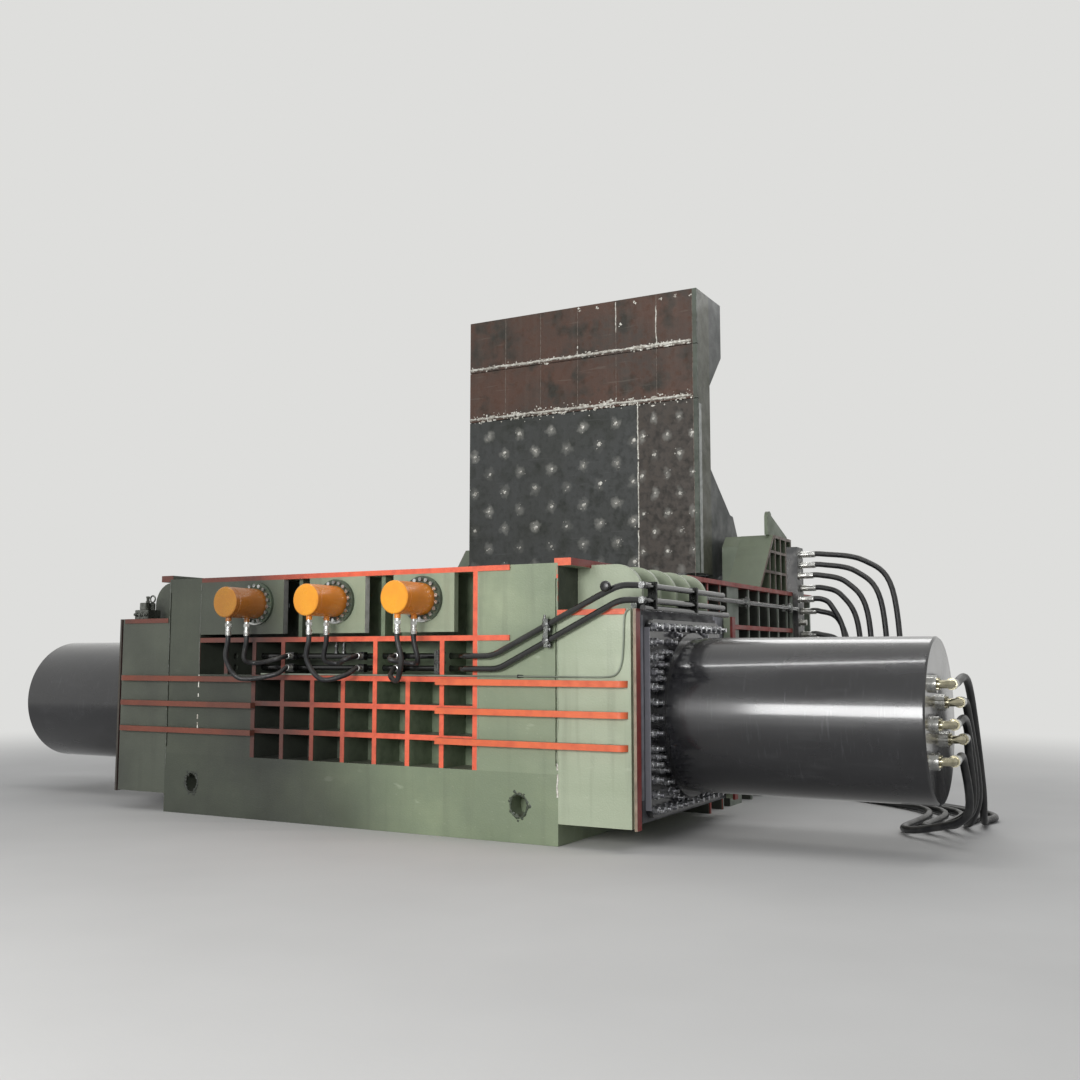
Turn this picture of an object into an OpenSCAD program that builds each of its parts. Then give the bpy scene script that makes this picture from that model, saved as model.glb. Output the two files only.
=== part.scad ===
// Recycling baler for scrap metal: a press channel between two opposed main
// rams, a feed box with a side ram behind it, and a hinged lid that stands open.
// The origin is on the ground under the middle of the press channel.
// X runs along the channel, Y runs from the front to the back, Z is up.

/* [Press channel] */
// Width of the press channel, front to back
channel_w = 1300; // [1260:10:1340]
// Height of the press channel
channel_h = 1200; // [1180:10:1220]
// Height of the channel floor above the ground
floor_z = 350; // [330:5:370]
// Length of the body between the two end plates
body_len = 5020; // [4980:10:5060]
// Running gap around each ram head
head_gap = 10; // [5:1:20]

/* [Front wall] */
// Distance from the channel axis to the front face
front_depth = 1100; // [1080:5:1160]
// Thickness of the wall behind the rib cells
web_t = 120; // [80:5:160]
// Pitch of the upright ribs
rib_pitch = 332; // [320:1:336]
// Thickness of the ribs and flanges seen on edge
rib_t = 42; // [30:1:50]
// Height of the sill under the rib cells
sill_h = 530; // [500:5:560]
// Heights of the three long horizontal ribs, from the ground to their middle
band_z1 = 766; // [740:2:800]
// Middle long rib
band_z2 = 1004; // [980:2:1030]
// Upper long rib
band_z3 = 1232; // [1200:2:1260]
// How far the side bands stand out of the front face
band_out = 60; // [30:5:90]
// Half width of the rib grid, to the inner edge of each pillar
grid_half = 1330; // [1328:1:1345]
// Distance from the middle to the left end of the lock recess
recess_left = 1650; // [1600:5:1680]
// Length of an end block, from its pillar to the end plate
end_len = 460; // [430:5:470]

/* [Fixed beam and locks] */
// Height of the top of the walls
wall_top = 2130; // [2110:5:2150]
// Depth of the recess behind the lock panels
recess_d = 300; // [250:10:340]
// Width of one lock panel
panel_w = 600; // [560:10:640]
// Thickness of a lock panel
panel_t = 60; // [40:5:80]
// Distance between neighbouring lock cylinders
lock_pitch = 890; // [860:5:900]
// How far the row of lock cylinders sits to the left of the middle
lock_shift = 80; // [40:5:90]
// Height of the lock cylinders
lock_z = 1880; // [1870:5:1890]
// Outer diameter of a lock cylinder
lock_d = 264; // [250:2:280]
// Length of a lock cylinder in front of its flange
lock_len = 380; // [370:5:400]
// Diameter of a lock cylinder's flange
lock_flange_d = 376; // [370:2:400]
// Diameter of a lock bolt
bolt_d = 220; // [200:2:230]
// Stroke of a lock bolt
bolt_stroke = 250; // [200:10:260]

/* [Main cylinders] */
// Outer diameter of a main cylinder
barrel_d = 1230; // [1200:5:1260]
// Length of a main cylinder outside its mounting plate
barrel_len = 2015; // [1950:5:2040]
// Bore of a main cylinder
bore_d = 1000; // [980:5:1040]
// Diameter of a main ram rod
ram_rod_d = 860; // [820:5:900]
// Width of the square mounting flange
flange_w = 1540; // [1520:10:1600]
// Height of the square mounting flange
flange_h = 1500; // [1480:10:1510]
// Thickness of the mounting flange
flange_t = 45; // [35:5:60]
// Pitch of the studs along the flange's edges
stud_pitch = 115; // [110:1:120]
// Diameter of the round ring on the flange
ring_d = 1310; // [1290:5:1320]
// Length of a main ram's head
head_len = 500; // [440:10:500]

/* [Feed box] */
// Width of the feed box along the channel
feed_w = 3100; // [3080:5:3120]
// Distance from the channel axis to the retracted side ram
feed_back = 3400; // [3380:5:3450]
// Half width to the outer edge of the side wall's ribs
side_half = 2430; // [2400:5:2460]
// Distance from the channel axis to the back end of the side walls
wall_back = 4600; // [4590:5:4700]
// Pitch of the side wall's upright ribs
side_pitch = 332; // [310:1:340]
// Length of the side ram's head
side_head_len = 600; // [540:10:640]
// Outer diameter of a side cylinder
side_barrel_d = 560; // [540:5:580]
// Bore of a side cylinder
side_bore_d = 440; // [420:5:450]
// Rod diameter of a side cylinder
side_rod_d = 300; // [260:5:320]
// Height of the side cylinders
side_z = 820; // [780:5:860]

/* [Lid] */
// Distance of the hinge pins from the channel axis
hinge_y = 4030; // [4020:2:4040]
// Height of the hinge pins
hinge_z = 2280; // [2270:2:2290]
// Diameter of a hinge pin
hinge_pin_d = 220; // [200:5:240]
// Side gap between the lid and the feed box
lid_side_gap = 20; // [15:1:30]
// Gap between the closed lid and the fixed beam
lid_end_gap = 20; // [18:1:30]
// Thickness of the lid
lid_t = 400; // [380:5:420]
// Thickness of the lid's nose
nose_t = 800; // [760:10:820]
// Length of the lid's nose
nose_len = 650; // [620:10:680]
// Length of the middle liner band
liner_band = 640; // [600:10:680]
// Thickness of the liner plates
liner_t = 40; // [30:1:50]
// Radius from the hinge to the lever eye
lever_r = 700; // [680:5:720]
// Angle of the lever eye above the horizontal with the lid open
lever_angle = 35; // [32:1:38]
// Distance of the lid cylinder's foot from the channel axis
foot_y = 6000; // [5950:10:6050]
// Height of the lid cylinder's foot
foot_z = 1550; // [1520:5:1580]
// Outer diameter of a lid cylinder
lid_barrel_d = 240; // [220:5:260]
// Rod diameter of a lid cylinder
lid_rod_d = 140; // [120:5:150]
// Length of a lid cylinder's barrel from its foot pin
lid_barrel_len = 1400; // [1360:10:1440]
// Diameter of the pins of a lid cylinder
lid_pin_d = 110; // [100:5:120]

/* [Pipes and hoses] */
// Outer diameter of the rigid pipes
pipe_d = 48; // [40:1:55]
// Outer diameter of the hoses of the lock cylinders
lock_hose_d = 42; // [36:1:48]
// Outer diameter of the big pressure hoses
main_hose_d = 60; // [50:1:66]

/* [Hidden] */
$fn = 48;
half_len = body_len / 2;
pillar_half = half_len - end_len;
chan = channel_w / 2;
axis_z = floor_z + channel_h / 2;
roof_z = floor_z + channel_h;
face_y = -front_depth;
web_y = -chan - web_t;
// The flange under the lock row, from its lower to its upper edge
mid_z0 = roof_z - 10;
mid_z1 = mid_z0 + rib_t;
recess_y = face_y + recess_d;
lock_x = [-lock_pitch - lock_shift, -lock_shift, lock_pitch - lock_shift];
running = 0.05;
// End blocks and end plates
block_z0 = 165;
block_z1 = 1768;
gusset_t = 40;
gusset_pitch = 345;
side_front = -740 + 4 * gusset_pitch + gusset_t / 2;
plate_t = 90;
plate_x = half_len + plate_t;
seat_t = 20;
skin_t = 40;
skin_x = half_len + 145;
rim_x = skin_x + 43;
rim_t = 22;
beam_slope = 75;
bolt_back = 60;
seat_x = plate_x + seat_t;
barrel_x = seat_x + barrel_len;
gland_len = 190;
ring_t = 60;
piston_t = 180;
head_x = feed_w / 2 + head_gap;
rod_end_x = barrel_x - 190;
// Cap ports of a main cylinder, as distance from the channel axis and height
cap_ports = [[-290, 270], [30, 130], [-245, -20], [125, -145], [-290, -275]];
elbow_r = 75;
elbow_out = 44;
elbow_tube_d = 60;
// Side walls
side_in = feed_w / 2;
core_x = 2100;
side_z2 = 1700;
wide_y0 = 1730;
wide_y1 = 2060;
// Side ram and its cylinders
side_ram_y = feed_back;
side_stroke = feed_back - chan - head_gap;
side_x = 900;
side_tail_y = wall_back + 320;
side_barrel_len = side_stroke + 420;
saddle_y = foot_y - 150;
// Lid, standing open: the liner face looks to the front
inner_y = hinge_y - (hinge_z - roof_z);
lid_half = side_in - lid_side_gap;
lid_top = hinge_z + hinge_y - chan - lid_end_gap;
lid_foot = hinge_z + 70;
back_y = inner_y + lid_t;
nose_y = inner_y + nose_t;
nose_z = lid_top - nose_len;
band_bot = nose_z - liner_band;
// Lid levers: two cheeks a side with the cylinder between them
lever_x = 1355;
lever_gap = 250;
cheek_t = 50;
eye_y = hinge_y + lever_r * cos(lever_angle);
eye_z = hinge_z + lever_r * sin(lever_angle);
lid_cyl_len = norm([eye_y - foot_y, eye_z - foot_z]);
lid_cyl_angle = atan2(eye_z - foot_z, eye_y - foot_y);
// Pedestals that carry the hinge pins
ped_x0 = side_in + 70;
ped_x1 = side_half - 230;
ped_front = side_in + 260;
ped_narrow = 160;
ped_slope = 560;
ped_rib = 30;
ped_pitch = 205;
ped_core = 130;
pin_end = ped_front + 30;
ped_y0 = hinge_y - 680;
ped_y1 = hinge_y + 560;
ped_top = hinge_z + 520;
// Rigid pipes: the upper and the lower one
pipe_z = [1418, 1318];
pipe_y = face_y - 40;
diag_x = [1490, 1545];
diag_a = [25.8, 26.2];
pipe_top = [1942, 1832];
pipe_x = skin_x + 70;
pipe_step = 58;
pipe_gap = 45;
short_pipe = [-1030, 800];
wall_pipe_y = 900;
wall_clamp_y = [2040, 3500];
tee_x = [-590, 170, 560];
// Hose manifold on the right side wall
mani_x0 = side_half;
mani_x1 = side_half + 60;
mani_y = [hinge_y - 210, hinge_y + 30];
mani_z = [1440, 2640];
mani_out = 80;
mani_ports = [[3970, 2560], [3970, 2440], [3875, 2315], [3970, 2180], [3875, 2050],
              [3970, 1920], [3875, 1790], [3970, 1660], [3875, 1530]];

// A box between two corners
module block(a, b) {
    translate(a)
        cube(b - a);
}

// A turned part on the X axis, from points of radius and distance along it
module turned_x(pts, y = 0, z = axis_z) {
    translate([0, y, z])
        rotate([0, 90, 0])
            rotate_extrude($fn = 96)
                polygon(pts);
}

// A turned part on the Y axis, from points of radius and distance along it
module turned_y(pts, x, z) {
    translate([x, 0, z])
        rotate([-90, 0, 0])
            rotate_extrude($fn = 64)
                polygon(pts);
}

// Round bars along X and Y
module bar_x(d, x0, x1, y, z) {
    translate([x0, y, z])
        rotate([0, 90, 0])
            cylinder(d = d, h = x1 - x0);
}

module bar_y(d, y0, y1, x, z) {
    translate([x, y0, z])
        rotate([-90, 0, 0])
            cylinder(d = d, h = y1 - y0);
}

module bar_z(d, z0, z1, x, y) {
    translate([x, y, z0])
        cylinder(d = d, h = z1 - z0);
}

// A plate across X, cut to an outline of Y and Z
module plate_yz(x0, x1) {
    translate([x0, 0, 0])
        rotate([90, 0, 90])
            linear_extrude(x1 - x0)
                children();
}

// A plate across Y, cut to an outline of X and Z
module plate_xz(y0, y1) {
    translate([0, y1, 0])
        rotate([90, 0, 0])
            linear_extrude(y1 - y0)
                children();
}

// The same form on the left end
module left_end() {
    mirror([1, 0, 0])
        children();
}

// A rectangle with round corners
module round_rect(x0, x1, y0, y1, r) {
    translate([x0 + r, y0])
        square([x1 - x0 - 2 * r, y1 - y0]);
    translate([x0, y0 + r])
        square([x1 - x0, y1 - y0 - 2 * r]);
    for (x = [x0 + r, x1 - r])
        for (y = [y0 + r, y1 - r])
            translate([x, y])
                circle(r);
}

// Points of a path with each corner rounded over a given length
function rounded_path(p, r) = concat(
    [p[0]],
    [for (i = [1 : len(p) - 2])
        let (a = p[i] + r * unit(p[i - 1] - p[i]), c = p[i] + r * unit(p[i + 1] - p[i]))
        for (t = [0 : 0.25 : 1])
            (1 - t) * (1 - t) * a + 2 * t * (1 - t) * p[i] + t * t * c],
    [p[len(p) - 1]]);

// Points of a smooth curve through a route, with a few steps in each span
function spline(p, i, t) =
    let (a = p[max(i - 1, 0)], b = p[i], c = p[i + 1], d = p[min(i + 2, len(p) - 1)])
    0.5 * (2 * b + (c - a) * t + (2 * a - 5 * b + 4 * c - d) * t * t
           + (3 * b - a - 3 * c + d) * t * t * t);
function curve(p, steps) = concat(
    [for (i = [0 : len(p) - 2]) for (s = [0 : steps - 1]) spline(p, i, s / steps)],
    [p[len(p) - 1]]);
function unit(v) = v / norm(v);
function heading(p, c, i) =
    i == 0 ? unit(p[1] - p[0])
    : i == len(c) - 1 ? unit(p[len(p) - 1] - p[len(p) - 2])
    : unit(c[i + 1] - c[i - 1]);
function sides_of(p, c, n, i = 0) =
    i >= len(c) ? []
    : let (t = heading(p, c, i), m = unit(n - (n * t) * t))
      concat([m], sides_of(p, c, m, i + 1));

// A closed tube swept along the points c, which follow the route
module swept(route, c, d, sides) {
    first = heading(route, c, 0);
    n = sides_of(route, c, abs(first[2]) > 0.8 ? [1, 0, 0] : [0, 0, 1]);
    rings = len(c);
    points = [for (i = [0 : rings - 1]) for (k = [0 : sides - 1])
        c[i] + d / 2 * (cos(360 * k / sides) * n[i]
                        + sin(360 * k / sides) * cross(heading(route, c, i), n[i]))];
    walls = [for (i = [0 : rings - 2]) for (k = [0 : sides - 1])
        let (q = (k + 1) % sides)
        [i * sides + k, (i + 1) * sides + k, (i + 1) * sides + q, i * sides + q]];
    ends = [[for (k = [0 : sides - 1]) k],
            [for (k = [sides - 1 : -1 : 0]) (rings - 1) * sides + k]];
    polyhedron(points, concat(walls, ends));
}

// A hose in a smooth curve, and a rigid pipe of straight lengths and bends
module hose(route, d, sides = 8, steps = 4) {
    swept(route, curve(route, steps), d, sides);
}

module pipe_run(pts, d, r = 70) {
    swept(pts, rounded_path(pts, r), d, 12);
}

// Bed: the floor weldment that everything stands on, with the front sill
module bed() {
    color([0.42, 0.47, 0.38])
        difference() {
            union() {
                block([-pillar_half, web_y, 0], [pillar_half, wall_back, floor_z]);
                block([-pillar_half, face_y, 0], [pillar_half, -chan, sill_h]);
            }
            for (x = [-1710, 1710])
                translate([x, 0, 285])
                    plate_xz(face_y - 1, face_y + 160)
                        round_rect(-70, 70, -90, 80, 60);
            for (x = [-1200 : 600 : 1200])
                block([x - 160, web_y + 200, -1], [x + 160, wall_back - 200, 120]);
        }
}

// Front wall: web plate, rib grid and the two pillars, welded to one piece
module front_wall() {
    inner = grid_half - rib_t;
    color([0.42, 0.47, 0.38]) {
        difference() {
            union() {
                block([-recess_left, web_y, sill_h], [grid_half, -chan, mid_z1]);
                block([grid_half, face_y, sill_h], [pillar_half, -chan, wall_top]);
                block([-pillar_half, face_y, sill_h], [-recess_left, -chan, wall_top]);
                // Plain front plate left of the cells
                block([-recess_left, face_y, sill_h], [-3 * rib_pitch, web_y, band_z3 + rib_t / 2]);
            }
            for (s = [-1, 1])
                plate_xz(face_y - 1, face_y + 18)
                    round_rect(s < 0 ? -pillar_half + 8 : pillar_half - 22,
                               s < 0 ? -pillar_half + 22 : pillar_half - 8,
                               sill_h + 60, wall_top - 120, 6);
        }
        // Uprights of the two lower rows, then those of the upper row
        for (i = [-3 : 3])
            block([i * rib_pitch - rib_t / 2, face_y, sill_h],
                  [i * rib_pitch + rib_t / 2, web_y, band_z3]);
        difference() {
            for (i = [-4, -3, -2, 1, 3])
                block([i * rib_pitch - rib_t / 2, face_y, band_z3],
                      [i * rib_pitch + rib_t / 2, web_y, mid_z1]);
            for (z = pipe_z)
                bar_x(pipe_d + 8, -grid_half, grid_half, face_y + 100, z);
        }
        block([inner, face_y, sill_h], [grid_half, web_y, mid_z1]);
        block([inner, face_y, mid_z1], [grid_half, recess_y, wall_top - rib_t]);
        // Long horizontal ribs inside the grid and the flange above them
        for (z = [band_z1, band_z2, band_z3])
            block([-3 * rib_pitch, face_y, z - rib_t / 2], [grid_half, web_y, z + rib_t / 2]);
        block([-recess_left, face_y, mid_z0], [grid_half, web_y, mid_z1]);
        block([grid_half, face_y - 14, mid_z0], [grid_half + 300, face_y, mid_z1]);
    }
}

// Side bands: flat bars with round ends, welded on across pillar and end block
module front_bands() {
    x0 = 970;
    x1 = skin_x - 25;
    color([0.85, 0.30, 0.16])
        for (z = [band_z1, band_z2, band_z3])
            for (s = [0, 1])
                mirror([s, 0, 0])
                    translate([0, 0, z - rib_t / 2 - 22])
                        linear_extrude(rib_t + 6) {
                            translate([x0, face_y - band_out])
                                square([x1 - x0 - band_out, band_out]);
                            translate([x1 - band_out, face_y])
                                intersection() {
                                    circle(band_out);
                                    translate([0, -band_out])
                                        square(band_out);
                                }
                        }
}

// Fixed beam over the channel: it holds the lock bolts and the lid's nose
module top_beam() {
    color([0.42, 0.47, 0.38])
        difference() {
            union() {
                plate_yz(-pillar_half, pillar_half)
                    polygon([[-chan, roof_z], [chan, roof_z], [chan, roof_z + 10],
                             [chan - beam_slope, wall_top], [-chan, wall_top]]);
                block([-recess_left, recess_y, mid_z1], [grid_half, -chan, wall_top - rib_t]);
                block([-recess_left, face_y, wall_top - rib_t], [grid_half, -chan, wall_top]);
                block([grid_half, face_y - 14, wall_top - rib_t], [grid_half + 300, face_y, wall_top]);
                for (x = [-0.5, 0.5] * lock_pitch - [1, 1] * lock_shift)
                    block([x - 20, face_y + panel_t, mid_z1],
                          [x + 20, recess_y, wall_top - rib_t]);
            }
            for (x = lock_x)
                bar_y(bolt_d + 2 * running, recess_y - 1, chan + 1, x, lock_z);
        }
}

// Lock panels: thick plates across the recess that carry the lock cylinders
module lock_panels() {
    color([0.52, 0.56, 0.48])
        for (x = lock_x)
            difference() {
                block([x == lock_x[0] ? -recess_left : x - panel_w / 2, face_y, mid_z1 + 30],
                      [x + panel_w / 2, face_y + panel_t, wall_top - rib_t]);
                bar_y(130, face_y - 1, face_y + panel_t + 1, x, lock_z);
            }
}

// Lock cylinder: barrel with a bolted flange, a flat end cap and two ports below
module lock_cylinder(x) {
    r = lock_d / 2;
    end = face_y - 30 - lock_len;
    color([0.93, 0.50, 0.13])
        difference() {
            union() {
                turned_y([[0, end], [r - 8, end], [r, end + 8], [r, end + 48], [r - 3, end + 50],
                          [r - 3, end + 54], [r, end + 56], [r, face_y - 30],
                          [lock_flange_d / 2, face_y - 30], [lock_flange_d / 2, face_y],
                          [60, face_y], [60, face_y + panel_t], [0, face_y + panel_t]], x, lock_z);
                for (y = [port_y0, port_y1])
                    bar_z(50, lock_z - r - 34, lock_z - r + 30, x, y);
            }
            bar_y(190.1, end + 40, face_y - 20, x, lock_z);
            bar_y(100 + 2 * running, end + 40, face_y + panel_t + 1, x, lock_z);
        }
    color([0.75, 0.75, 0.73])
        for (y = [port_y0, port_y1]) {
            bar_z(44, lock_z - r - 52, lock_z - r - 34, x, y);
            translate([x, y, lock_z - r - 78])
                cylinder(d = 58, h = 26, $fn = 6);
            bar_z(46, lock_low, lock_z - r - 78, x, y);
        }
}

module lock_cylinder_left() {
    lock_cylinder(lock_x[0]);
}

module lock_cylinder_middle() {
    lock_cylinder(lock_x[1]);
}

module lock_cylinder_right() {
    lock_cylinder(lock_x[2]);
}

// Ring of cap screws around each lock cylinder's flange
module lock_screws() {
    color([0.55, 0.55, 0.55])
        for (x = lock_x)
            for (a = [0 : 20 : 340])
                translate([x, face_y - 30, lock_z])
                    rotate([0, a, 0])
                        translate([0, 0, (lock_d + lock_flange_d) / 4])
                            rotate([90, 0, 0])
                                cylinder(d = 30, h = 26, $fn = 16);
}

// Lock bolt with its piston rod: it slides back into the lid's nose
module lock_bolt(x) {
    end = face_y - 30 - lock_len;
    y0 = recess_y + 60;
    color([0.70, 0.71, 0.72])
        turned_y([[0, end + 50], [95, end + 50], [95, end + 120], [50, end + 120], [50, y0],
                  [bolt_d / 2, y0], [bolt_d / 2, chan - bolt_back - 30],
                  [bolt_d / 2 - 30, chan - bolt_back], [0, chan - bolt_back]], x, lock_z);
}

module lock_bolt_left() {
    lock_bolt(lock_x[0]);
}

module lock_bolt_middle() {
    lock_bolt(lock_x[1]);
}

module lock_bolt_right() {
    lock_bolt(lock_x[2]);
}

// End block: the closed end of the channel, with round-topped gussets on its roof
module end_block() {
    r = 220;
    gx = plate_x;
    color([0.66, 0.70, 0.56]) {
        difference() {
            union() {
                block([pillar_half, face_y, block_z0], [half_len, front_depth, block_z1]);
                // Front and back skins run on past the end plate to angle bars on edge
                for (s = [0, 1])
                    mirror([0, s, 0]) {
                        block([half_len, face_y, block_z0], [skin_x, face_y + skin_t, block_z1]);
                        block([skin_x - skin_t, face_y + skin_t, block_z0],
                              [rim_x, face_y + 2 * skin_t, block_z1]);
                        block([rim_x - rim_t, face_y, block_z0 - 10],
                              [rim_x, face_y + 2 * skin_t, block_z1]);
                    }
            }
            block([pillar_half - 1, -chan, floor_z], [half_len + 1, chan, roof_z]);
        }
        // Top flange from the front corner of the pillar back to the side wall
        block([pillar_half, face_y, wall_top - 22], [pillar_half + 115, side_front, wall_top + 36]);
        block([pillar_half - 30, face_y, wall_top], [pillar_half, side_front, wall_top + 36]);
        for (i = [0 : 4])
            plate_xz(-740 + i * gusset_pitch - gusset_t / 2, -740 + i * gusset_pitch + gusset_t / 2) {
                translate([pillar_half, block_z1])
                    square([gx - r - pillar_half, wall_top - block_z1]);
                translate([pillar_half, block_z1])
                    square([gx - pillar_half, wall_top - block_z1 - r]);
                translate([gx - r, wall_top - r])
                    intersection() {
                        circle(r);
                        square(r);
                    }
            }
        // Edge strip of the roof plate
        block([pillar_half, face_y - 14, block_z1 - rib_t], [skin_x - 35, face_y, block_z1]);
    }
}

module right_end_block() {
    end_block();
}

module left_end_block() {
    left_end()
        end_block();
}

// End plate: closes the block and carries the main cylinder on a machined seat
module end_plate() {
    color([0.62, 0.63, 0.62])
        difference() {
            union() {
                block([half_len, face_y + skin_t, block_z0], [plate_x, front_depth - skin_t, block_z1]);
                block([plate_x, -flange_w / 2 - 60, axis_z - flange_h / 2 - 20],
                      [seat_x, flange_w / 2 + 60, axis_z + flange_h / 2 + 30]);
            }
            bar_x(ram_rod_d + 30, half_len - 1, seat_x + 1, 0, axis_z);
        }
}

module right_end_plate() {
    end_plate();
}

module left_end_plate() {
    left_end()
        end_plate();
}

// Main cylinder: thick tube with a square flange, a round ring and a welded end
module barrel() {
    r = barrel_d / 2;
    color([0.10, 0.10, 0.12]) {
        difference() {
            plate_yz(seat_x, seat_x + flange_t)
                round_rect(-flange_w / 2, flange_w / 2, axis_z - flange_h / 2, axis_z + flange_h / 2, 90);
            bar_x(ring_d - 40, seat_x - 1, seat_x + flange_t + 1, 0, axis_z);
        }
        turned_x([[ram_rod_d / 2 + running, seat_x], [ring_d / 2 - 6, seat_x],
                  [ring_d / 2, seat_x + 6], [ring_d / 2, seat_x + flange_t + ring_t],
                  [r, seat_x + flange_t + ring_t], [r, barrel_x - 14], [r - 14, barrel_x],
                  [0, barrel_x], [0, barrel_x - 180],
                  [bore_d / 2, barrel_x - 180], [bore_d / 2, seat_x + gland_len],
                  [ram_rod_d / 2 + running, seat_x + gland_len]]);
    }
}

module right_barrel() {
    barrel();
}

module left_barrel() {
    left_end()
        barrel();
}

// A round stud with its hexagon nut, pointing away from the body
module stud(d, len) {
    rotate([0, 90, 0]) {
        cylinder(d = d, h = len, $fn = 16);
        translate([0, 0, 6])
            cylinder(d = d * 1.75, h = d * 0.9, $fn = 6);
        cylinder(d = d * 1.9, h = 6, $fn = 24);
    }
}

// Studs and nuts of both main cylinders: along the square flange, and round the ring
module barrel_studs() {
    rows = floor((flange_h / 2 - 55) / stud_pitch);
    cols = floor((flange_w / 2 - 55) / stud_pitch);
    side = flange_w / 2 - 60;
    color([0.22, 0.22, 0.24])
        for (s = [0, 1])
            mirror([s, 0, 0])
                translate([seat_x + flange_t, 0, axis_z]) {
                    for (k = [-rows : rows])
                        for (y = [-side, side])
                            translate([0, y, k * stud_pitch])
                                stud(36, 85);
                    for (k = [1 - cols : cols - 1])
                        if (norm([k, rows]) * stud_pitch > ring_d / 2 + 40)
                            for (z = [-rows, rows])
                                translate([0, k * stud_pitch, z * stud_pitch])
                                    stud(36, 85);
                    // An arc of studs in each corner
                    for (q = [0 : 90 : 270])
                        for (a = [25 : 10 : 65])
                            rotate([q + a, 0, 0])
                                translate([0, 0, ring_d / 2 + 45])
                                    stud(32, 75);
                }
}

// Port flange and elbow on the cap, with the crimped end of its hose
module cap_elbow(y, z) {
    x = barrel_x;
    bar_x(124, x, x + 34, y, z);
    for (a = [45 : 90 : 315])
        bar_x(22, x + 34, x + 50, y + 46 * cos(a), z + 46 * sin(a));
    bar_x(elbow_tube_d, x + 34, x + elbow_out, y, z);
    translate([x + elbow_out, y + elbow_r, z])
        rotate([0, 0, -90])
            rotate_extrude(angle = 90, $fn = 48)
                translate([elbow_r, 0])
                    circle(d = elbow_tube_d, $fn = 24);
    bar_y(84, y + elbow_r, y + elbow_r + 50, x + elbow_out + elbow_r, z);
}

module cap_elbows() {
    color([0.55, 0.53, 0.40])
        for (p = cap_ports)
            cap_elbow(p[0], axis_z + p[1]);
}

module right_cap_elbows() {
    cap_elbows();
}

module left_cap_elbows() {
    left_end()
        cap_elbows();
}

// Press head: the block that fills the channel and squeezes the scrap
module press_head() {
    g = head_gap;
    color([0.45, 0.44, 0.42])
        difference() {
            block([head_x, -chan + g, floor_z + g], [head_x + head_len, chan - g, roof_z - g]);
            for (s = [-1, 1])
                for (z = [floor_z + 200, axis_z + 20])
                    translate([0, s < 0 ? -chan : chan - 190, 0])
                        block([head_x + 110, -1, z], [head_x + head_len - 120, 191, z + 380]);
        }
}

module right_press_head() {
    press_head();
}

module left_press_head() {
    left_end()
        press_head();
}

// Ram rod with its piston, bolted to the back of the press head
module ram_rod() {
    r = ram_rod_d / 2;
    p = bore_d / 2 - running;
    x0 = head_x + head_len;
    color([0.72, 0.73, 0.74])
        turned_x([[0, x0], [r, x0], [r, rod_end_x - piston_t - 20], [p, rod_end_x - piston_t],
                  [p, rod_end_x - 20], [r, rod_end_x], [0, rod_end_x]]);
}

module right_ram_rod() {
    ram_rod();
}

module left_ram_rod() {
    left_end()
        ram_rod();
}

// Side wall of the feed box: a box with upright ribs and two long flanges outside
module side_wall() {
    top = wall_top - rib_t;
    front = side_front;
    color([0.42, 0.47, 0.38]) {
        // Core of the wall, behind the ribs
        block([side_in, chan, floor_z], [pillar_half, wall_back, top]);
        block([pillar_half, front_depth, 0], [core_x, wall_back, top]);
        block([pillar_half, front, block_z1], [core_x, front_depth, top]);
        // Upper ribs over the end block
        for (y = [front : side_pitch : front_depth])
            block([core_x, y, block_z1], [side_half - 20, y + 34, top]);
        // Upright ribs, and the wide column
        for (y = [front_depth + 60 : side_pitch : wide_y0 - 100])
            block([core_x, y, 0], [side_half - 20, y + 34, top]);
        block([core_x, wide_y0, 0], [side_half - 30, wide_y1, top]);
        for (y = [wide_y1 + side_pitch - 60 : side_pitch : mani_y[0] - 60])
            block([core_x, y, 0], [side_half - 20, y + 34, top]);
        block([core_x, mani_y[0] - 20, 0], [side_half, mani_y[1] + 20, top]);
        block([core_x, wall_back - 40, 0], [side_half - 20, wall_back, top]);
        // Long flanges
        block([core_x, front_depth, side_z2 - rib_t / 2], [side_half, mani_y[0] - 20, side_z2 + rib_t / 2]);
        block([side_in, chan, top], [pillar_half, wall_back, wall_top]);
        block([pillar_half, front, top], [side_half, wall_back, wall_top]);
    }
}

module right_side_wall() {
    side_wall();
}

module left_side_wall() {
    left_end()
        side_wall();
}

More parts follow.
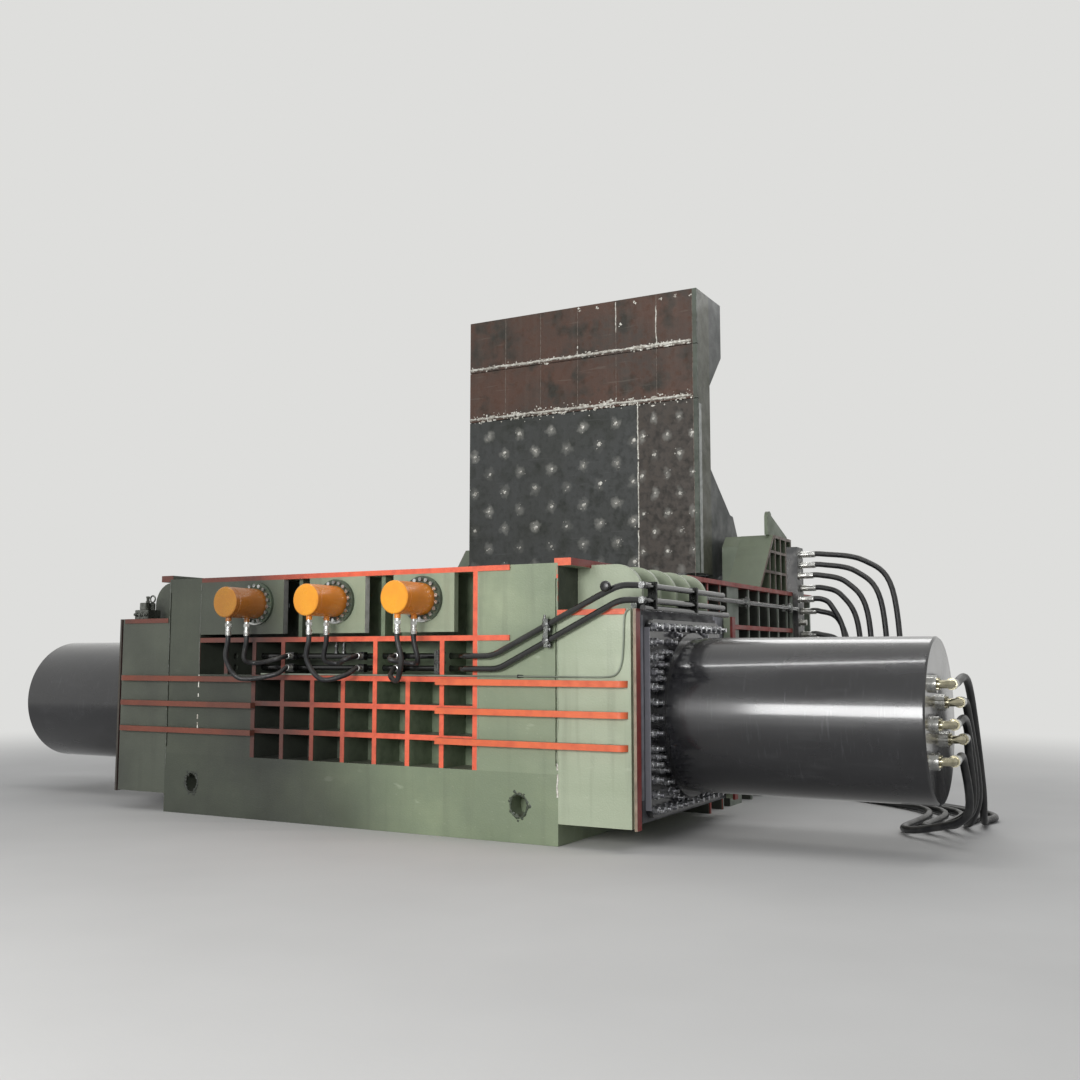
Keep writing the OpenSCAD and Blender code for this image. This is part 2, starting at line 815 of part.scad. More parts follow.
// Pedestal: a ribbed buttress on the side wall that carries one hinge pin
module pedestal(outer, ear) {
    slope = ped_slope;
    rib = ped_rib;
    core = outer - ped_core;
    face = [[ped_y0, wall_top], [ped_y1, wall_top], [ped_y1, ped_top], [ped_y0 + slope, ped_top]];
    color([0.50, 0.55, 0.42])
        difference() {
            union() {
                plate_yz(ped_x0, ped_front)
                    polygon([[hinge_y - 240, wall_top], [ped_y1, wall_top], [ped_y1, ped_top],
                             [hinge_y - 110, ped_top], [hinge_y - 240, ped_top - 130]]);
                plate_yz(ped_front, core)
                    polygon(face);
                // Sloped front plate, top plate and shelf plates as wide as the ribs
                plate_yz(core, outer) {
                    polygon([[ped_y0, wall_top], [ped_y0 + 40, wall_top],
                             [ped_y0 + slope + 40, ped_top], [ped_y0 + slope, ped_top]]);
                    polygon([[ped_y0 + slope - 26, ped_top - 34], [ped_y1, ped_top - 34],
                             [ped_y1, ped_top], [ped_y0 + slope, ped_top]]);
                    for (k = [0.33, 0.68])
                        translate([0, wall_top + k * (ped_top - wall_top)])
                            polygon([[ped_y0 + slope * k, 0], [ped_y1, 0], [ped_y1, rib],
                                     [ped_y0 + slope * k + 25, rib]]);
                }
                for (i = [0 : 4])
                    intersection() {
                        block([core, ped_y1 - rib - i * ped_pitch, wall_top],
                              [outer, ped_y1 - i * ped_pitch, ped_top]);
                        plate_yz(core, outer)
                            polygon(face);
                    }
                if (ear)
                    plate_yz(outer - 90, outer - 50) {
                        translate([ped_y0 + 500, ped_top])
                            square([150, 200]);
                        translate([ped_y0 + 575, ped_top + 200])
                            circle(75);
                        polygon([[ped_y0 + 640, ped_top + 230], [ped_y1, ped_top + 30],
                                 [ped_y1, ped_top], [ped_y0 + 600, ped_top]]);
                    }
            }
            bar_x(hinge_pin_d, ped_x0 - 1, pin_end, hinge_y, hinge_z);
        }
}

module right_pedestal() {
    pedestal(ped_x1, true);
}

module left_pedestal() {
    left_end()
        pedestal(ped_front + ped_narrow, false);
}

// Hinge pins, held in the pedestals and running in the lid's cheeks
module hinge_pins() {
    color([0.65, 0.66, 0.67])
        for (s = [0, 1])
            mirror([s, 0, 0])
                bar_x(hinge_pin_d, lever_x - lever_gap / 2 - cheek_t - 30, pin_end, hinge_y, hinge_z);
}

// Outline of one lid cheek: hinge eye, lever eye and the root along the lid's back
module cheek_outline() {
    difference() {
        union() {
            translate([hinge_y, hinge_z])
                circle(200);
            translate([eye_y, eye_z])
                circle(130);
            polygon([[back_y, lid_foot], [hinge_y - 60, hinge_z - 191], [hinge_y + 95, hinge_z - 176],
                     [eye_y + 75, eye_z - 106], [eye_y + 40, eye_z + 124], [eye_y - 160, eye_z + 420],
                     [eye_y - 260, eye_z + 430], [back_y, eye_z + 900]]);
        }
        translate([hinge_y, hinge_z])
            circle(d = hinge_pin_d + 2 * running);
        translate([eye_y, eye_z])
            circle(d = lid_pin_d + 2);
    }
}

// Lid: ribbed box with a deep nose that holds the sockets of the lock bolts
module lid() {
    skin = inner_y + liner_t;
    face = skin + 60;
    sock_y = hinge_y - (hinge_z - lock_z);
    color([0.30, 0.34, 0.30])
        difference() {
            union() {
                block([-lid_half, skin, lid_foot], [lid_half, face, lid_top]);
                // Upright and level ribs on the back
                for (i = [0 : 7])
                    block([-lid_half + i * (2 * lid_half - 40) / 7, face, lid_foot],
                          [-lid_half + i * (2 * lid_half - 40) / 7 + 40, back_y, nose_z]);
                for (i = [0 : 5])
                    block([-lid_half, face, lid_foot + i * (nose_z - lid_foot - 40) / 5],
                          [lid_half, back_y, lid_foot + i * (nose_z - lid_foot - 40) / 5 + 40]);
                // Nose
                block([-lid_half, face, nose_z], [lid_half, nose_y, lid_top]);
                for (i = [0 : 7])
                    plate_yz(-lid_half + i * (2 * lid_half - 40) / 7,
                             -lid_half + i * (2 * lid_half - 40) / 7 + 40)
                        polygon([[back_y, nose_z], [nose_y, nose_z], [back_y, nose_z - 420]]);
                for (s = [-1, 1])
                    for (x = [lever_x - lever_gap / 2 - cheek_t, lever_x + lever_gap / 2])
                        plate_yz(s < 0 ? -x - cheek_t : x, s < 0 ? -x : x + cheek_t)
                            cheek_outline();
            }
            for (x = lock_x)
                bar_z(bolt_d + 16, lid_top - bolt_stroke - 40, lid_top + 1, x, sock_y);
        }
}

// Liner plates on the lid's inner face
module lid_liner_nose() {
    color([0.36, 0.25, 0.20])
        block([-lid_half, inner_y, nose_z + 4], [lid_half, inner_y + liner_t, lid_top]);
}

module lid_liner_band() {
    color([0.33, 0.23, 0.19])
        block([-lid_half, inner_y, band_bot + 4], [lid_half, inner_y + liner_t, nose_z - 4]);
}

module lid_liner_field() {
    color([0.24, 0.26, 0.24])
        block([-lid_half, inner_y, lid_foot], [lid_half, inner_y + liner_t, band_bot - 4]);
}

// Lid cylinder, drawn along X from its foot pin and turned into place
module at_lid_cylinder() {
    translate([lever_x, foot_y, foot_z])
        rotate([lid_cyl_angle, 0, 0])
            children();
}

// Barrel of a lid cylinder with its foot eye
module lid_barrel() {
    r = lid_barrel_d / 2;
    color([0.12, 0.12, 0.13])
        at_lid_cylinder()
            difference() {
                union() {
                    translate([-50, 0, 0])
                        rotate([0, 90, 0])
                            cylinder(r = 115, h = 100);
                    rotate([-90, 0, 0])
                        translate([0, 0, 150])
                            cylinder(r = r, h = lid_barrel_len - 150);
                    rotate([-90, 0, 0])
                        translate([0, 0, lid_barrel_len - 90])
                            cylinder(r = r + 15, h = 90);
                    translate([-50, 0, -100])
                        cube([100, 151, 200]);
                }
                translate([-51, 0, 0])
                    rotate([0, 90, 0])
                        cylinder(d = lid_pin_d + 2 * running, h = 102);
                rotate([-90, 0, 0])
                    translate([0, 0, 160])
                        cylinder(d = lid_barrel_d - 50, h = lid_barrel_len - 250);
                rotate([-90, 0, 0])
                    translate([0, 0, lid_barrel_len - 100])
                        cylinder(d = lid_rod_d + 2 * running, h = 101);
            }
}

// Rod of a lid cylinder: piston, rod, eye, and the pin that it carries
module lid_rod() {
    reach = lid_cyl_len;
    color([0.72, 0.73, 0.74])
        at_lid_cylinder() {
            rotate([-90, 0, 0])
                translate([0, 0, 200])
                    cylinder(d = lid_barrel_d - 50 - 2 * running, h = 90);
            rotate([-90, 0, 0])
                translate([0, 0, 200])
                    cylinder(d = lid_rod_d, h = reach - 300);
            translate([-60, reach, 0])
                rotate([0, 90, 0])
                    cylinder(r = 115, h = 120);
            translate([1 - lever_gap / 2, reach, 0])
                rotate([0, 90, 0])
                    cylinder(d = lid_pin_d, h = lever_gap - 2);
        }
}

module right_lid_barrel() {
    lid_barrel();
}

module left_lid_barrel() {
    left_end()
        lid_barrel();
}

module right_lid_rod() {
    lid_rod();
}

module left_lid_rod() {
    left_end()
        lid_rod();
}

// Rear frame: cross head of the side cylinders, saddle, beams and foot brackets
module rear_frame() {
    w = 1850;
    cheek = 60;
    color([0.42, 0.47, 0.38])
        difference() {
            union() {
                block([-w, wall_back, 0], [w, side_tail_y, roof_z + 160]);
                block([-side_in, hinge_y - 30, roof_z], [side_in, wall_back, roof_z + 160]);
                for (x = [-w, -150, w - 300])
                    block([x, side_tail_y, 0], [x + 300, saddle_y + 300, 300]);
                block([-w, saddle_y, 0], [w, saddle_y + 300, 1280]);
                for (s = [0, 1])
                    mirror([s, 0, 0])
                        for (x = [lever_x - 55 - cheek, lever_x + 55])
                            plate_yz(x, x + cheek) {
                                translate([foot_y, foot_z])
                                    circle(130);
                                polygon([[saddle_y, 1280], [saddle_y + 300, 1280],
                                         [foot_y + 130, foot_z], [foot_y - 130, foot_z]]);
                            }
            }
            for (s = [0, 1])
                mirror([s, 0, 0]) {
                    bar_y(side_barrel_d - 60, wall_back - 1, side_tail_y + 1, side_x, side_z);
                    bar_y(side_barrel_d, saddle_y - 1, saddle_y + 301, side_x, side_z);
                    bar_x(lid_pin_d, lever_x - 200, lever_x + 200, foot_y, foot_z);
                }
            // Windows in the cross head
            block([-330, wall_back - 1, 420], [330, side_tail_y + 1, 1250]);
            block([-330, saddle_y - 1, 420], [330, saddle_y + 301, 1050]);
        }
}

// Foot pins of the lid cylinders
module lid_foot_pins() {
    color([0.65, 0.66, 0.67])
        for (s = [0, 1])
            mirror([s, 0, 0])
                bar_x(lid_pin_d, lever_x - 125, lever_x + 125, foot_y, foot_z);
}

// Side ram: the wide pusher that fills the feed box and closes the channel's side
module side_ram() {
    g = head_gap;
    x = side_in - g;
    y1 = side_ram_y + side_head_len;
    color([0.45, 0.44, 0.42])
        difference() {
            block([-x, side_ram_y, floor_z + g], [x, y1, roof_z - g]);
            for (i = [-3 : 3])
                block([i * 410 - 165, side_ram_y + 120, floor_z + 150],
                      [i * 410 + 165, y1 + 1, i % 2 == 0 ? side_z + 330 : side_z - 260]);
        }
}

// Side cylinders: two barrels behind the cross head
module side_barrels() {
    r = side_barrel_d / 2;
    y0 = side_tail_y;
    y1 = side_tail_y + side_barrel_len;
    b = side_bore_d / 2;
    q = side_rod_d / 2 + running;
    color([0.12, 0.12, 0.13])
        for (s = [-1, 1])
            turned_y([[q, y0 - 200], [r - 30, y0 - 200], [r - 30, y0], [r + 70, y0], [r + 70, y0 + 60],
                      [r, y0 + 60], [r, y1 - 10], [r - 10, y1], [0, y1], [0, y1 - 100],
                      [b, y1 - 100], [b, y0 + 10], [q, y0 + 10]], s * side_x, side_z);
}

// Rods of the side cylinders with their pistons
module side_rods() {
    r = side_rod_d / 2;
    p = side_bore_d / 2 - running;
    y0 = side_ram_y + side_head_len;
    y1 = side_tail_y + side_barrel_len - 120;
    color([0.72, 0.73, 0.74])
        for (s = [-1, 1])
            turned_y([[0, y0], [r, y0], [r, y1 - 160], [p, y1 - 160], [p, y1 - 10],
                      [p - 10, y1], [0, y1]], s * side_x, side_z);
}

// Rigid pipes on the front: out of the upper cell row, up the pillar and round
module front_pipes() {
    q = face_y + 100;
    color([0.10, 0.10, 0.11]) {
        for (i = [0, 1])
            pipe_run([[-1010, q, pipe_z[i]], [1050, q, pipe_z[i]], [1230, pipe_y, pipe_z[i]],
                      [diag_x[i], pipe_y, pipe_z[i]],
                      [2430, pipe_y, pipe_z[i] + (2430 - diag_x[i]) * tan(diag_a[i])],
                      [2590, pipe_y, pipe_top[i]], [pipe_x, pipe_y + 130, pipe_top[i]],
                      [pipe_x, 700, pipe_top[i]]], pipe_d);
        // Tee blocks where the lock hoses join
        for (x = tee_x)
            for (z = pipe_z)
                block([x - 30, face_y + 20, z - 34], [x + 30, face_y + 70, z + 34]);
    }
}

// Rigid pipes along the right side wall
module side_pipes() {
    color([0.10, 0.10, 0.11]) {
        bar_y(pipe_d, short_pipe[0], short_pipe[1], pipe_x, pipe_top[1] - pipe_step);
        bar_y(pipe_d, wall_pipe_y, mani_y[0], side_half + pipe_gap, pipe_top[0]);
    }
}

// Clamps that hold the pipes
module pipe_clamps() {
    color([0.16, 0.16, 0.17])
        difference() {
            union() {
                block([880, face_y + 60, pipe_z[1] - 45], [930, web_y, pipe_z[0] + 45]);
                block([1965, face_y - 72, 1485], [2000, face_y, 1700]);
                // Brackets on the end plate's top edge, with a riser for the upper pipe
                for (y = [-860, -10]) {
                    block([half_len + 40, y, block_z1], [pipe_x + 34, y + 30, pipe_top[1] + 34]);
                    block([pipe_x - 34, y, pipe_top[1]], [pipe_x + 34, y + 30, pipe_top[0] + 34]);
                }
                for (y = wall_clamp_y)
                    block([side_half - 30, y, pipe_top[0] - 40],
                          [side_half + pipe_gap + 35, y + 50, pipe_top[0] + 40]);
            }
            for (i = [0, 1]) {
                bar_x(pipe_d, 800, 1000, face_y + 100, pipe_z[i]);
                translate([diag_x[i], pipe_y, pipe_z[i]])
                    rotate([0, 90 - diag_a[i], 0])
                        cylinder(d = pipe_d, h = 900);
                bar_y(pipe_d, -900, 100, pipe_x, pipe_top[i]);
            }
            bar_y(pipe_d, -900, 100, pipe_x, pipe_top[1] - pipe_step);
            bar_y(pipe_d, wall_clamp_y[0] - 50, wall_clamp_y[1] + 100, side_half + pipe_gap, pipe_top[0]);
        }
}

// Hose manifold: a tall block on the side wall with a fitting for every hose
module hose_manifold() {
    color([0.30, 0.31, 0.30]) {
        block([mani_x0, mani_y[0], mani_z[0]], [mani_x1, mani_y[1], mani_z[1]]);
        block([mani_x0 - 60, mani_y[0], wall_top], [mani_x0, mani_y[1], mani_z[1]]);
    }
    color([0.80, 0.80, 0.78])
        for (p = mani_ports) {
            bar_x(84, mani_x1, mani_x1 + 20, p[0], p[1]);
            bar_x(66, mani_x1 + 20, mani_x1 + mani_out, p[0], p[1]);
        }
}

// Ends of the lock hoses: under the lock ports and in front of the tee blocks
lock_low = lock_z - lock_d / 2 - 110;
port_y0 = face_y - 30 - lock_len + 55;
port_y1 = port_y0 + 225;
tee_y = face_y + 20;

// Hose from a lock port down and round to a tee block
module lock_hose(i, py, side, tz, drop) {
    px = lock_x[i];
    tx = tee_x[i];
    color([0.05, 0.05, 0.06])
        hose([[px, py, lock_low], [px, py, lock_low - 90], [px - side * 30, py + 15, lock_low - 250],
              [px + side * 60, py + 90, tz - drop], [tx - side * 40, tee_y - 170, tz - drop + 30],
              [tx, tee_y - 60, tz], [tx, tee_y, tz]],
             lock_hose_d, 8, 3);
}

module lock_hose_1() {
    lock_hose(0, port_y0, 1, pipe_z[1], 90);
}

module lock_hose_2() {
    lock_hose(0, port_y1, 1, pipe_z[0], 60);
}

module lock_hose_3() {
    lock_hose(1, port_y0, 1, pipe_z[1], 90);
}

module lock_hose_4() {
    lock_hose(1, port_y1, 1, pipe_z[0], 60);
}

module lock_hose_5() {
    lock_hose(2, port_y0, -1, pipe_z[1], 90);
}

module lock_hose_6() {
    lock_hose(2, port_y1, -1, pipe_z[0], 60);
}

// Hose from the manifold down behind the main cylinder and up to a cap elbow
module main_hose(i) {
    p = cap_ports[i];
    m = mani_ports[i];
    x = barrel_x + elbow_out + elbow_r;
    y = p[0] + elbow_r + 50;
    z = axis_z + p[1];
    mx = mani_x1 + mani_out;
    far = mx + 1050 - 140 * i;
    low = main_hose_d / 2 + 8;
    lane = x - 60 - 130 * i;
    turn = 1310 - 190 * i;
    over = i % 2 == 0;
    color([0.05, 0.05, 0.06])
        hose([[mx, m[0], m[1]], [mx + 170, m[0], m[1]],
              [mx + 0.6 * (far - mx), m[0] - 20, m[1] - 90],
              [mx + 0.9 * (far - mx), m[0] - 90, m[1] - 420],
              [far, m[0] - 220, 0.45 * m[1] - 60], [far + 10, 3400, 330], [far + 30, 2950, low + 25],
              [lane - 40, 2050, low], [lane, turn + 300, low], [0.5 * (lane + x), turn, low + 60],
              [x, turn - 240, 330 + 0.3 * p[1]],
              [x, 0.5 * (turn + y) - (over ? 10 : 160), z - (over ? 25 : 90)],
              [x, y + 130, z], [x, y, z]],
             main_hose_d, 8, 3);
}

module main_hose_1() {
    main_hose(0);
}

module main_hose_2() {
    main_hose(1);
}

module main_hose_3() {
    main_hose(2);
}

module main_hose_4() {
    main_hose(3);
}

module main_hose_5() {
    main_hose(4);
}

// Hoses that run on behind the machine, laid on the ground
module side_hose(i, spread) {
    m = mani_ports[i];
    mx = mani_x1 + mani_out;
    low = main_hose_d / 2 + 8;
    color([0.05, 0.05, 0.06])
        hose([[mx, m[0], m[1]], [mx + 120, m[0], m[1]], [mx + 330, m[0] + 50, m[1] - 110],
              [mx + 440 - spread, m[0] + 140, m[1] - 600], [mx + 500 - spread, m[0] + 260, 420],
              [mx + 620 - spread, m[0] + 520, low + 45], [mx + 800 - spread, m[0] + 900, low],
              [mx + 1100 - spread, m[0] + 1350, low]], main_hose_d, 8, 3);
}

module side_hose_1() {
    side_hose(5, 0);
}

module side_hose_2() {
    side_hose(7, 180);
}

bed();
front_wall();
front_bands();
top_beam();
lock_panels();
lock_cylinder_left();
lock_cylinder_middle();
lock_cylinder_right();
lock_screws();
lock_bolt_left();
lock_bolt_middle();
lock_bolt_right();
right_end_block();
left_end_block();
right_end_plate();
left_end_plate();
right_barrel();
left_barrel();
barrel_studs();
right_cap_elbows();
left_cap_elbows();
right_press_head();
left_press_head();
right_ram_rod();
left_ram_rod();
right_side_wall();
left_side_wall();
right_pedestal();
left_pedestal();
hinge_pins();
lid();
lid_liner_nose();
lid_liner_band();
lid_liner_field();
right_lid_barrel();
left_lid_barrel();
right_lid_rod();
left_lid_rod();
rear_frame();
lid_foot_pins();
side_ram();
side_barrels();
side_rods();
front_pipes();
side_pipes();
pipe_clamps();
hose_manifold();
lock_hose_1();
lock_hose_2();
lock_hose_3();
lock_hose_4();
lock_hose_5();
lock_hose_6();
main_hose_1();
main_hose_2();
main_hose_3();
main_hose_4();
main_hose_5();
side_hose_1();
side_hose_2();
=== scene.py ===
import math
import random

import bmesh
import bpy
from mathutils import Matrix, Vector


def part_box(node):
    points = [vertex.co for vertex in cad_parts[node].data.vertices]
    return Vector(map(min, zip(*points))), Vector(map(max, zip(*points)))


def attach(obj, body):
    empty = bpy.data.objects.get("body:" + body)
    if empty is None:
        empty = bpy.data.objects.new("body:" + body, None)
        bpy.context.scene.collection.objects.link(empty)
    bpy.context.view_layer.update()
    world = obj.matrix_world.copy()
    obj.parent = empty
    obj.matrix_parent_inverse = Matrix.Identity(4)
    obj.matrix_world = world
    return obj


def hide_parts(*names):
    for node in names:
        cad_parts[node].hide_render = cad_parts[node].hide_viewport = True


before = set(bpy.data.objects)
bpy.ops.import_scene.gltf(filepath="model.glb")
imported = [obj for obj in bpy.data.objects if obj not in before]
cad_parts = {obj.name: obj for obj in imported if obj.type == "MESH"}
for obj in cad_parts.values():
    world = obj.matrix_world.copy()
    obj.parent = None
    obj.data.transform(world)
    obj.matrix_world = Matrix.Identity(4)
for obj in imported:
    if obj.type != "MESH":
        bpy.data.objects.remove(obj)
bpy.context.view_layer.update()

# Camera: a wide lens at eye height, in front of the machine and towards its right end, turned to the left and
# tipped up a little. The view is 50 degrees wide.
camera = bpy.data.objects.new("camera", bpy.data.cameras.new("camera"))
camera.data.sensor_width = 36
# The focal length over the frame's width, both in pixels
camera.data.lens = camera.data.sensor_width * 1150 / 1080
camera.location = (6.155, -8.865, 1.42)
camera.rotation_euler = (math.radians(90 + 5.75), 0, math.radians(28.75))
bpy.context.scene.collection.objects.link(camera)
bpy.context.scene.camera = camera
bpy.context.scene.view_settings.view_transform = "Standard"


# Lock hoses: six short pressure hoses from the ports under the lock cylinders to the tee blocks in the cells.
# Each is wire-braided nitrile rubber with a smooth wrapped cover, between two crimped steel ferrules.
def linear(text):
    """A colour written as sRGB hex, as the linear colour that the shaders take."""
    values = [int(text[i:i + 2], 16) / 255 for i in (1, 3, 5)]
    return [v / 12.92 if v < 0.04045 else ((v + 0.055) / 1.055) ** 2.4 for v in values] + [1]


def add_node(beside, kind, settings={}, links={}):
    """Adds a shader node beside another. Settings are attributes or sockets, links are sockets and what feeds them."""
    tree = beside.id_data
    node = tree.nodes.new("ShaderNode" + kind)
    for key, value in settings.items():
        if isinstance(key, str) and hasattr(node, key):
            setattr(node, key, value)
        else:
            node.inputs[key].default_value = value
    for key, source in links.items():
        tree.links.new(source, node.inputs[key])
    return node


def new_material(name):
    """A material with its surface shader and the position on the piece, in metres."""
    material = bpy.data.materials.new(name)
    material.use_nodes = True
    shader = material.node_tree.nodes["Principled BSDF"]
    return material, shader, add_node(shader, "TexCoord")


def patches(place, size, spread, detail=4, stretch=(1, 1, 1)):
    """Cloudy patches of a size in mm, 0 to 1 over the spread. Stretch above 1 makes them narrower along an axis."""
    at = add_node(place, "Mapping", {"Scale": stretch}, {"Vector": place.outputs["Object"]})
    cloud = add_node(place, "TexNoise", {"Scale": 1000 / size, "Detail": detail}, {"Vector": at.outputs[0]})
    return add_node(place, "MapRange", {"From Min": spread[0], "From Max": spread[1]},
                    {"Value": cloud.outputs[0]}).outputs[0]


def coat(place, amount, under, over, share=1.0):
    """One coat over another, each a hex colour or a socket, as thick as the amount times a fixed share."""
    part = add_node(place, "Math", {"operation": "MULTIPLY", 1: share}, {0: amount}).outputs[0]
    mix = add_node(place, "MixRGB", {}, {"Fac": part})
    for key, colour in (("Color1", under), ("Color2", over)):
        if isinstance(colour, str):
            mix.inputs[key].default_value = linear(colour)
        else:
            place.id_data.links.new(colour, mix.inputs[key])
    return mix.outputs[0]


def facing_up(place, low=0.5, high=0.95):
    """1 where the surface faces up and catches dust, 0 where it stands."""
    parts = add_node(place, "SeparateXYZ", {}, {0: place.outputs["Normal"]})
    return add_node(place, "MapRange", {"From Min": low, "From Max": high}, {"Value": parts.outputs[2]}).outputs[0]


def surface(material, shader, colour, rub, gloss, heights):
    """Links the colour, the roughness between two values as rub goes from 0 to 1, and height layers in mm."""
    links = material.node_tree.links
    links.new(colour, shader.inputs["Base Color"])
    links.new(add_node(shader, "MapRange", {"To Min": gloss[0], "To Max": gloss[1]},
                       {"Value": rub}).outputs[0], shader.inputs["Roughness"])
    normal = None
    for height, depth in heights:
        bump = add_node(shader, "Bump", {"Distance": depth / 1000, "Strength": 1.0}, {"Height": height})
        if normal:
            links.new(normal, bump.inputs["Normal"])
        normal = bump.outputs[0]
    links.new(normal, shader.inputs["Normal"])
    return material


def wrapped_rubber():
    """Nitrile rubber cover, vulcanised under cloth tape: dull black, with the tape's faint turns and grey dust."""
    material, shader, place = new_material("wrapped_nitrile_rubber")
    smear = patches(place, 110, (0.4, 0.7), 3)
    base = coat(place, smear, "#17181b", "#4c4b47", 0.35)
    base = coat(place, facing_up(place, 0.1, 0.9), base, "#5d5b55", 0.35)
    # The tape's turns are 4 mm wide, drawn at 14 mm so that they show
    turns = add_node(place, "TexWave", {"Scale": 11, "Distortion": 1.2, "bands_direction": "DIAGONAL"},
                     {"Vector": place.outputs["Object"]})
    return surface(material, shader, base, smear, (0.34, 0.55),
                   [(turns.outputs[1], 0.6), (patches(place, 3.3, (0.3, 0.7), 2), 0.3)])


def box_mask(place, boxes, mirror=False):
    """1 inside any of the boxes, each given as its low and high corner in metres."""
    parts = add_node(place, "SeparateXYZ", {}, {0: place.outputs["Object"]})
    axes = list(parts.outputs)
    if mirror:
        axes[0] = add_node(place, "Math", {"operation": "ABSOLUTE"}, {0: axes[0]}).outputs[0]
    total = None
    for corner, other in boxes:
        inside = None
        for axis, a, b in zip(axes, corner, other):
            near = add_node(place, "Math", {"operation": "COMPARE", 1: (a + b) / 2, 2: (b - a) / 2},
                            {0: axis}).outputs[0]
            inside = near if inside is None else add_node(
                place, "Math", {"operation": "MULTIPLY"}, {0: inside, 1: near}).outputs[0]
        total = inside if total is None else add_node(
            place, "Math", {"operation": "MAXIMUM"}, {0: total, 1: inside}).outputs[0]
    return total


def zinc_plate(name, bright, dull, painted=()):
    """Free-cutting steel, turned and zinc plated: bright grey metal with duller patches and grease in the corners."""
    material, shader, place = new_material(name)
    patch = patches(place, 33, (0.35, 0.65), 3)
    shader.inputs["Metallic"].default_value = 1
    base = coat(place, patch, bright, dull, 0.6)
    if painted:
        base = coat(place, box_mask(place, painted), base, "#1c1d1c")
    return surface(material, shader, base, patch, (0.22, 0.45), [(patches(place, 3.8, (0.3, 0.7), 2), 0.4)])


def curve_points(route, steps):
    """Points of the smooth curve through a route, the same curve that the solid hose follows."""
    points = []
    for i in range(len(route) - 1):
        a, b = route[max(i - 1, 0)], route[i]
        c, d = route[i + 1], route[min(i + 2, len(route) - 1)]
        for s in range(steps):
            t = s / steps
            points.append(0.5 * (2 * b + (c - a) * t + (2 * a - 5 * b + 4 * c - d) * t * t
                                 + (3 * b - a - 3 * c + d) * t ** 3))
    return points + [route[-1]]


def tube(name, route, diameter, material, steps=8):
    """A round tube or hose along a route."""
    data = bpy.data.curves.new(name, "CURVE")
    data.dimensions = "3D"
    data.bevel_depth = diameter / 2
    data.bevel_resolution = 4
    data.use_fill_caps = True
    line = curve_points(route, steps)
    spline = data.splines.new("POLY")
    spline.points.add(len(line) - 1)
    for point, at in zip(spline.points, line):
        point.co = (*at, 1)
    spline.use_smooth = True
    data.materials.append(material)
    piece = bpy.data.objects.new(name, data)
    bpy.context.scene.collection.objects.link(piece)
    return piece, sum((b - a).length for a, b in zip(line, line[1:]))


def link_mesh(name, mesh, material, smooth=40):
    """Turns a finished bmesh into an object, smooth over edges under the given angle."""
    data = bpy.data.meshes.new(name)
    bmesh.ops.recalc_face_normals(mesh, faces=mesh.faces)
    mesh.to_mesh(data)
    mesh.free()
    data.shade_smooth()
    data.set_sharp_from_angle(angle=math.radians(smooth))
    data.materials.append(material)
    piece = bpy.data.objects.new(name, data)
    bpy.context.scene.collection.objects.link(piece)
    return piece


def turned(mesh, profile, start, along, sides=24):
    """Adds a turned solid to a bmesh: profile is distance along the axis and radius."""
    spin = Vector(along).to_track_quat("Z", "Y").to_matrix()
    rings = []
    for z, r in profile:
        rings.append([mesh.verts.new(Vector(start) + spin @ Vector(
            (r * math.cos(2 * math.pi * k / sides), r * math.sin(2 * math.pi * k / sides), z))) for k in range(sides)])
    for low, high in zip(rings, rings[1:]):
        for k in range(sides):
            mesh.faces.new((low[k], low[(k + 1) % sides], high[(k + 1) % sides], high[k]))
    mesh.faces.new(rings[0][::-1])
    mesh.faces.new(rings[-1])


def crimped_sleeve(radius, length, hose_width):
    """Profile of a hose ferrule: a sleeve that bites into the hose, with grooves pressed in every 11 mm."""
    bore, pitch = hose_width / 2 - 0.0005, 0.011
    profile = [(0.0, bore), (0.0, radius - 0.001)]
    for k in range(int((length - 0.010) / pitch)):
        profile += [(0.006 + pitch * k, radius), (0.010 + pitch * k, radius), (0.013 + pitch * k, radius - 0.0017)]
    return profile + [(length - 0.002, radius - 0.0005), (length, hose_width / 2)]


def fasten(piece, body):
    """Makes a new piece ride on a body."""
    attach(piece, body)


def lay_hose(kind, number, route, width, mesh, ends="ferrules"):
    """Makes one hose along its route, with the steel ends that the mesh holds."""
    hose, length = tube("%s_cover_%d" % (kind, number), route, width, rubber)
    steel = link_mesh("%s_%s_%d" % (kind, ends, number), mesh, ferrule_zinc)
    fasten(hose, "frame")
    fasten(steel, "frame")
    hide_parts("%s_%d" % (kind, number))


rubber = wrapped_rubber()
ferrule_zinc = zinc_plate("zinc_plated_steel", "#dcdcda", "#8b8c86")
lock_width = 0.042
lock_sleeve = 0.0262
lock_x = [-0.97, -0.08, 0.81]
port_y = [-1.455, -1.23]
port_z = 1.638
tee_x = [-0.59, 0.17, 0.56]
tee_y = -1.08
tee_z = [1.318, 1.418]
sag = [0.09, 0.06]
for i in range(3):
    for j in range(2):
        px, py, tx, tz = lock_x[i], port_y[j], tee_x[i], tee_z[j]
        # The last pair swings out to the left, the others to the right
        side = -1 if i == 2 else 1
        route = [Vector(p) for p in (
            (px, py, port_z), (px, py, port_z - 0.09), (px - side * 0.03, py + 0.015, port_z - 0.25),
            (px + side * 0.06, py + 0.09, tz - sag[j]), (tx - side * 0.04, tee_y - 0.17, tz - sag[j] + 0.03),
            (tx, tee_y - 0.06, tz), (tx, tee_y, tz))]
        mesh = bmesh.new()
        turned(mesh, crimped_sleeve(lock_sleeve, 0.045, lock_width), route[0], (0, 0, -1))
        turned(mesh, crimped_sleeve(lock_sleeve, 0.056, lock_width), route[-1], (0, -1, 0))
        lay_hose("lock_hose", 2 * i + j + 1, route, lock_width, mesh)

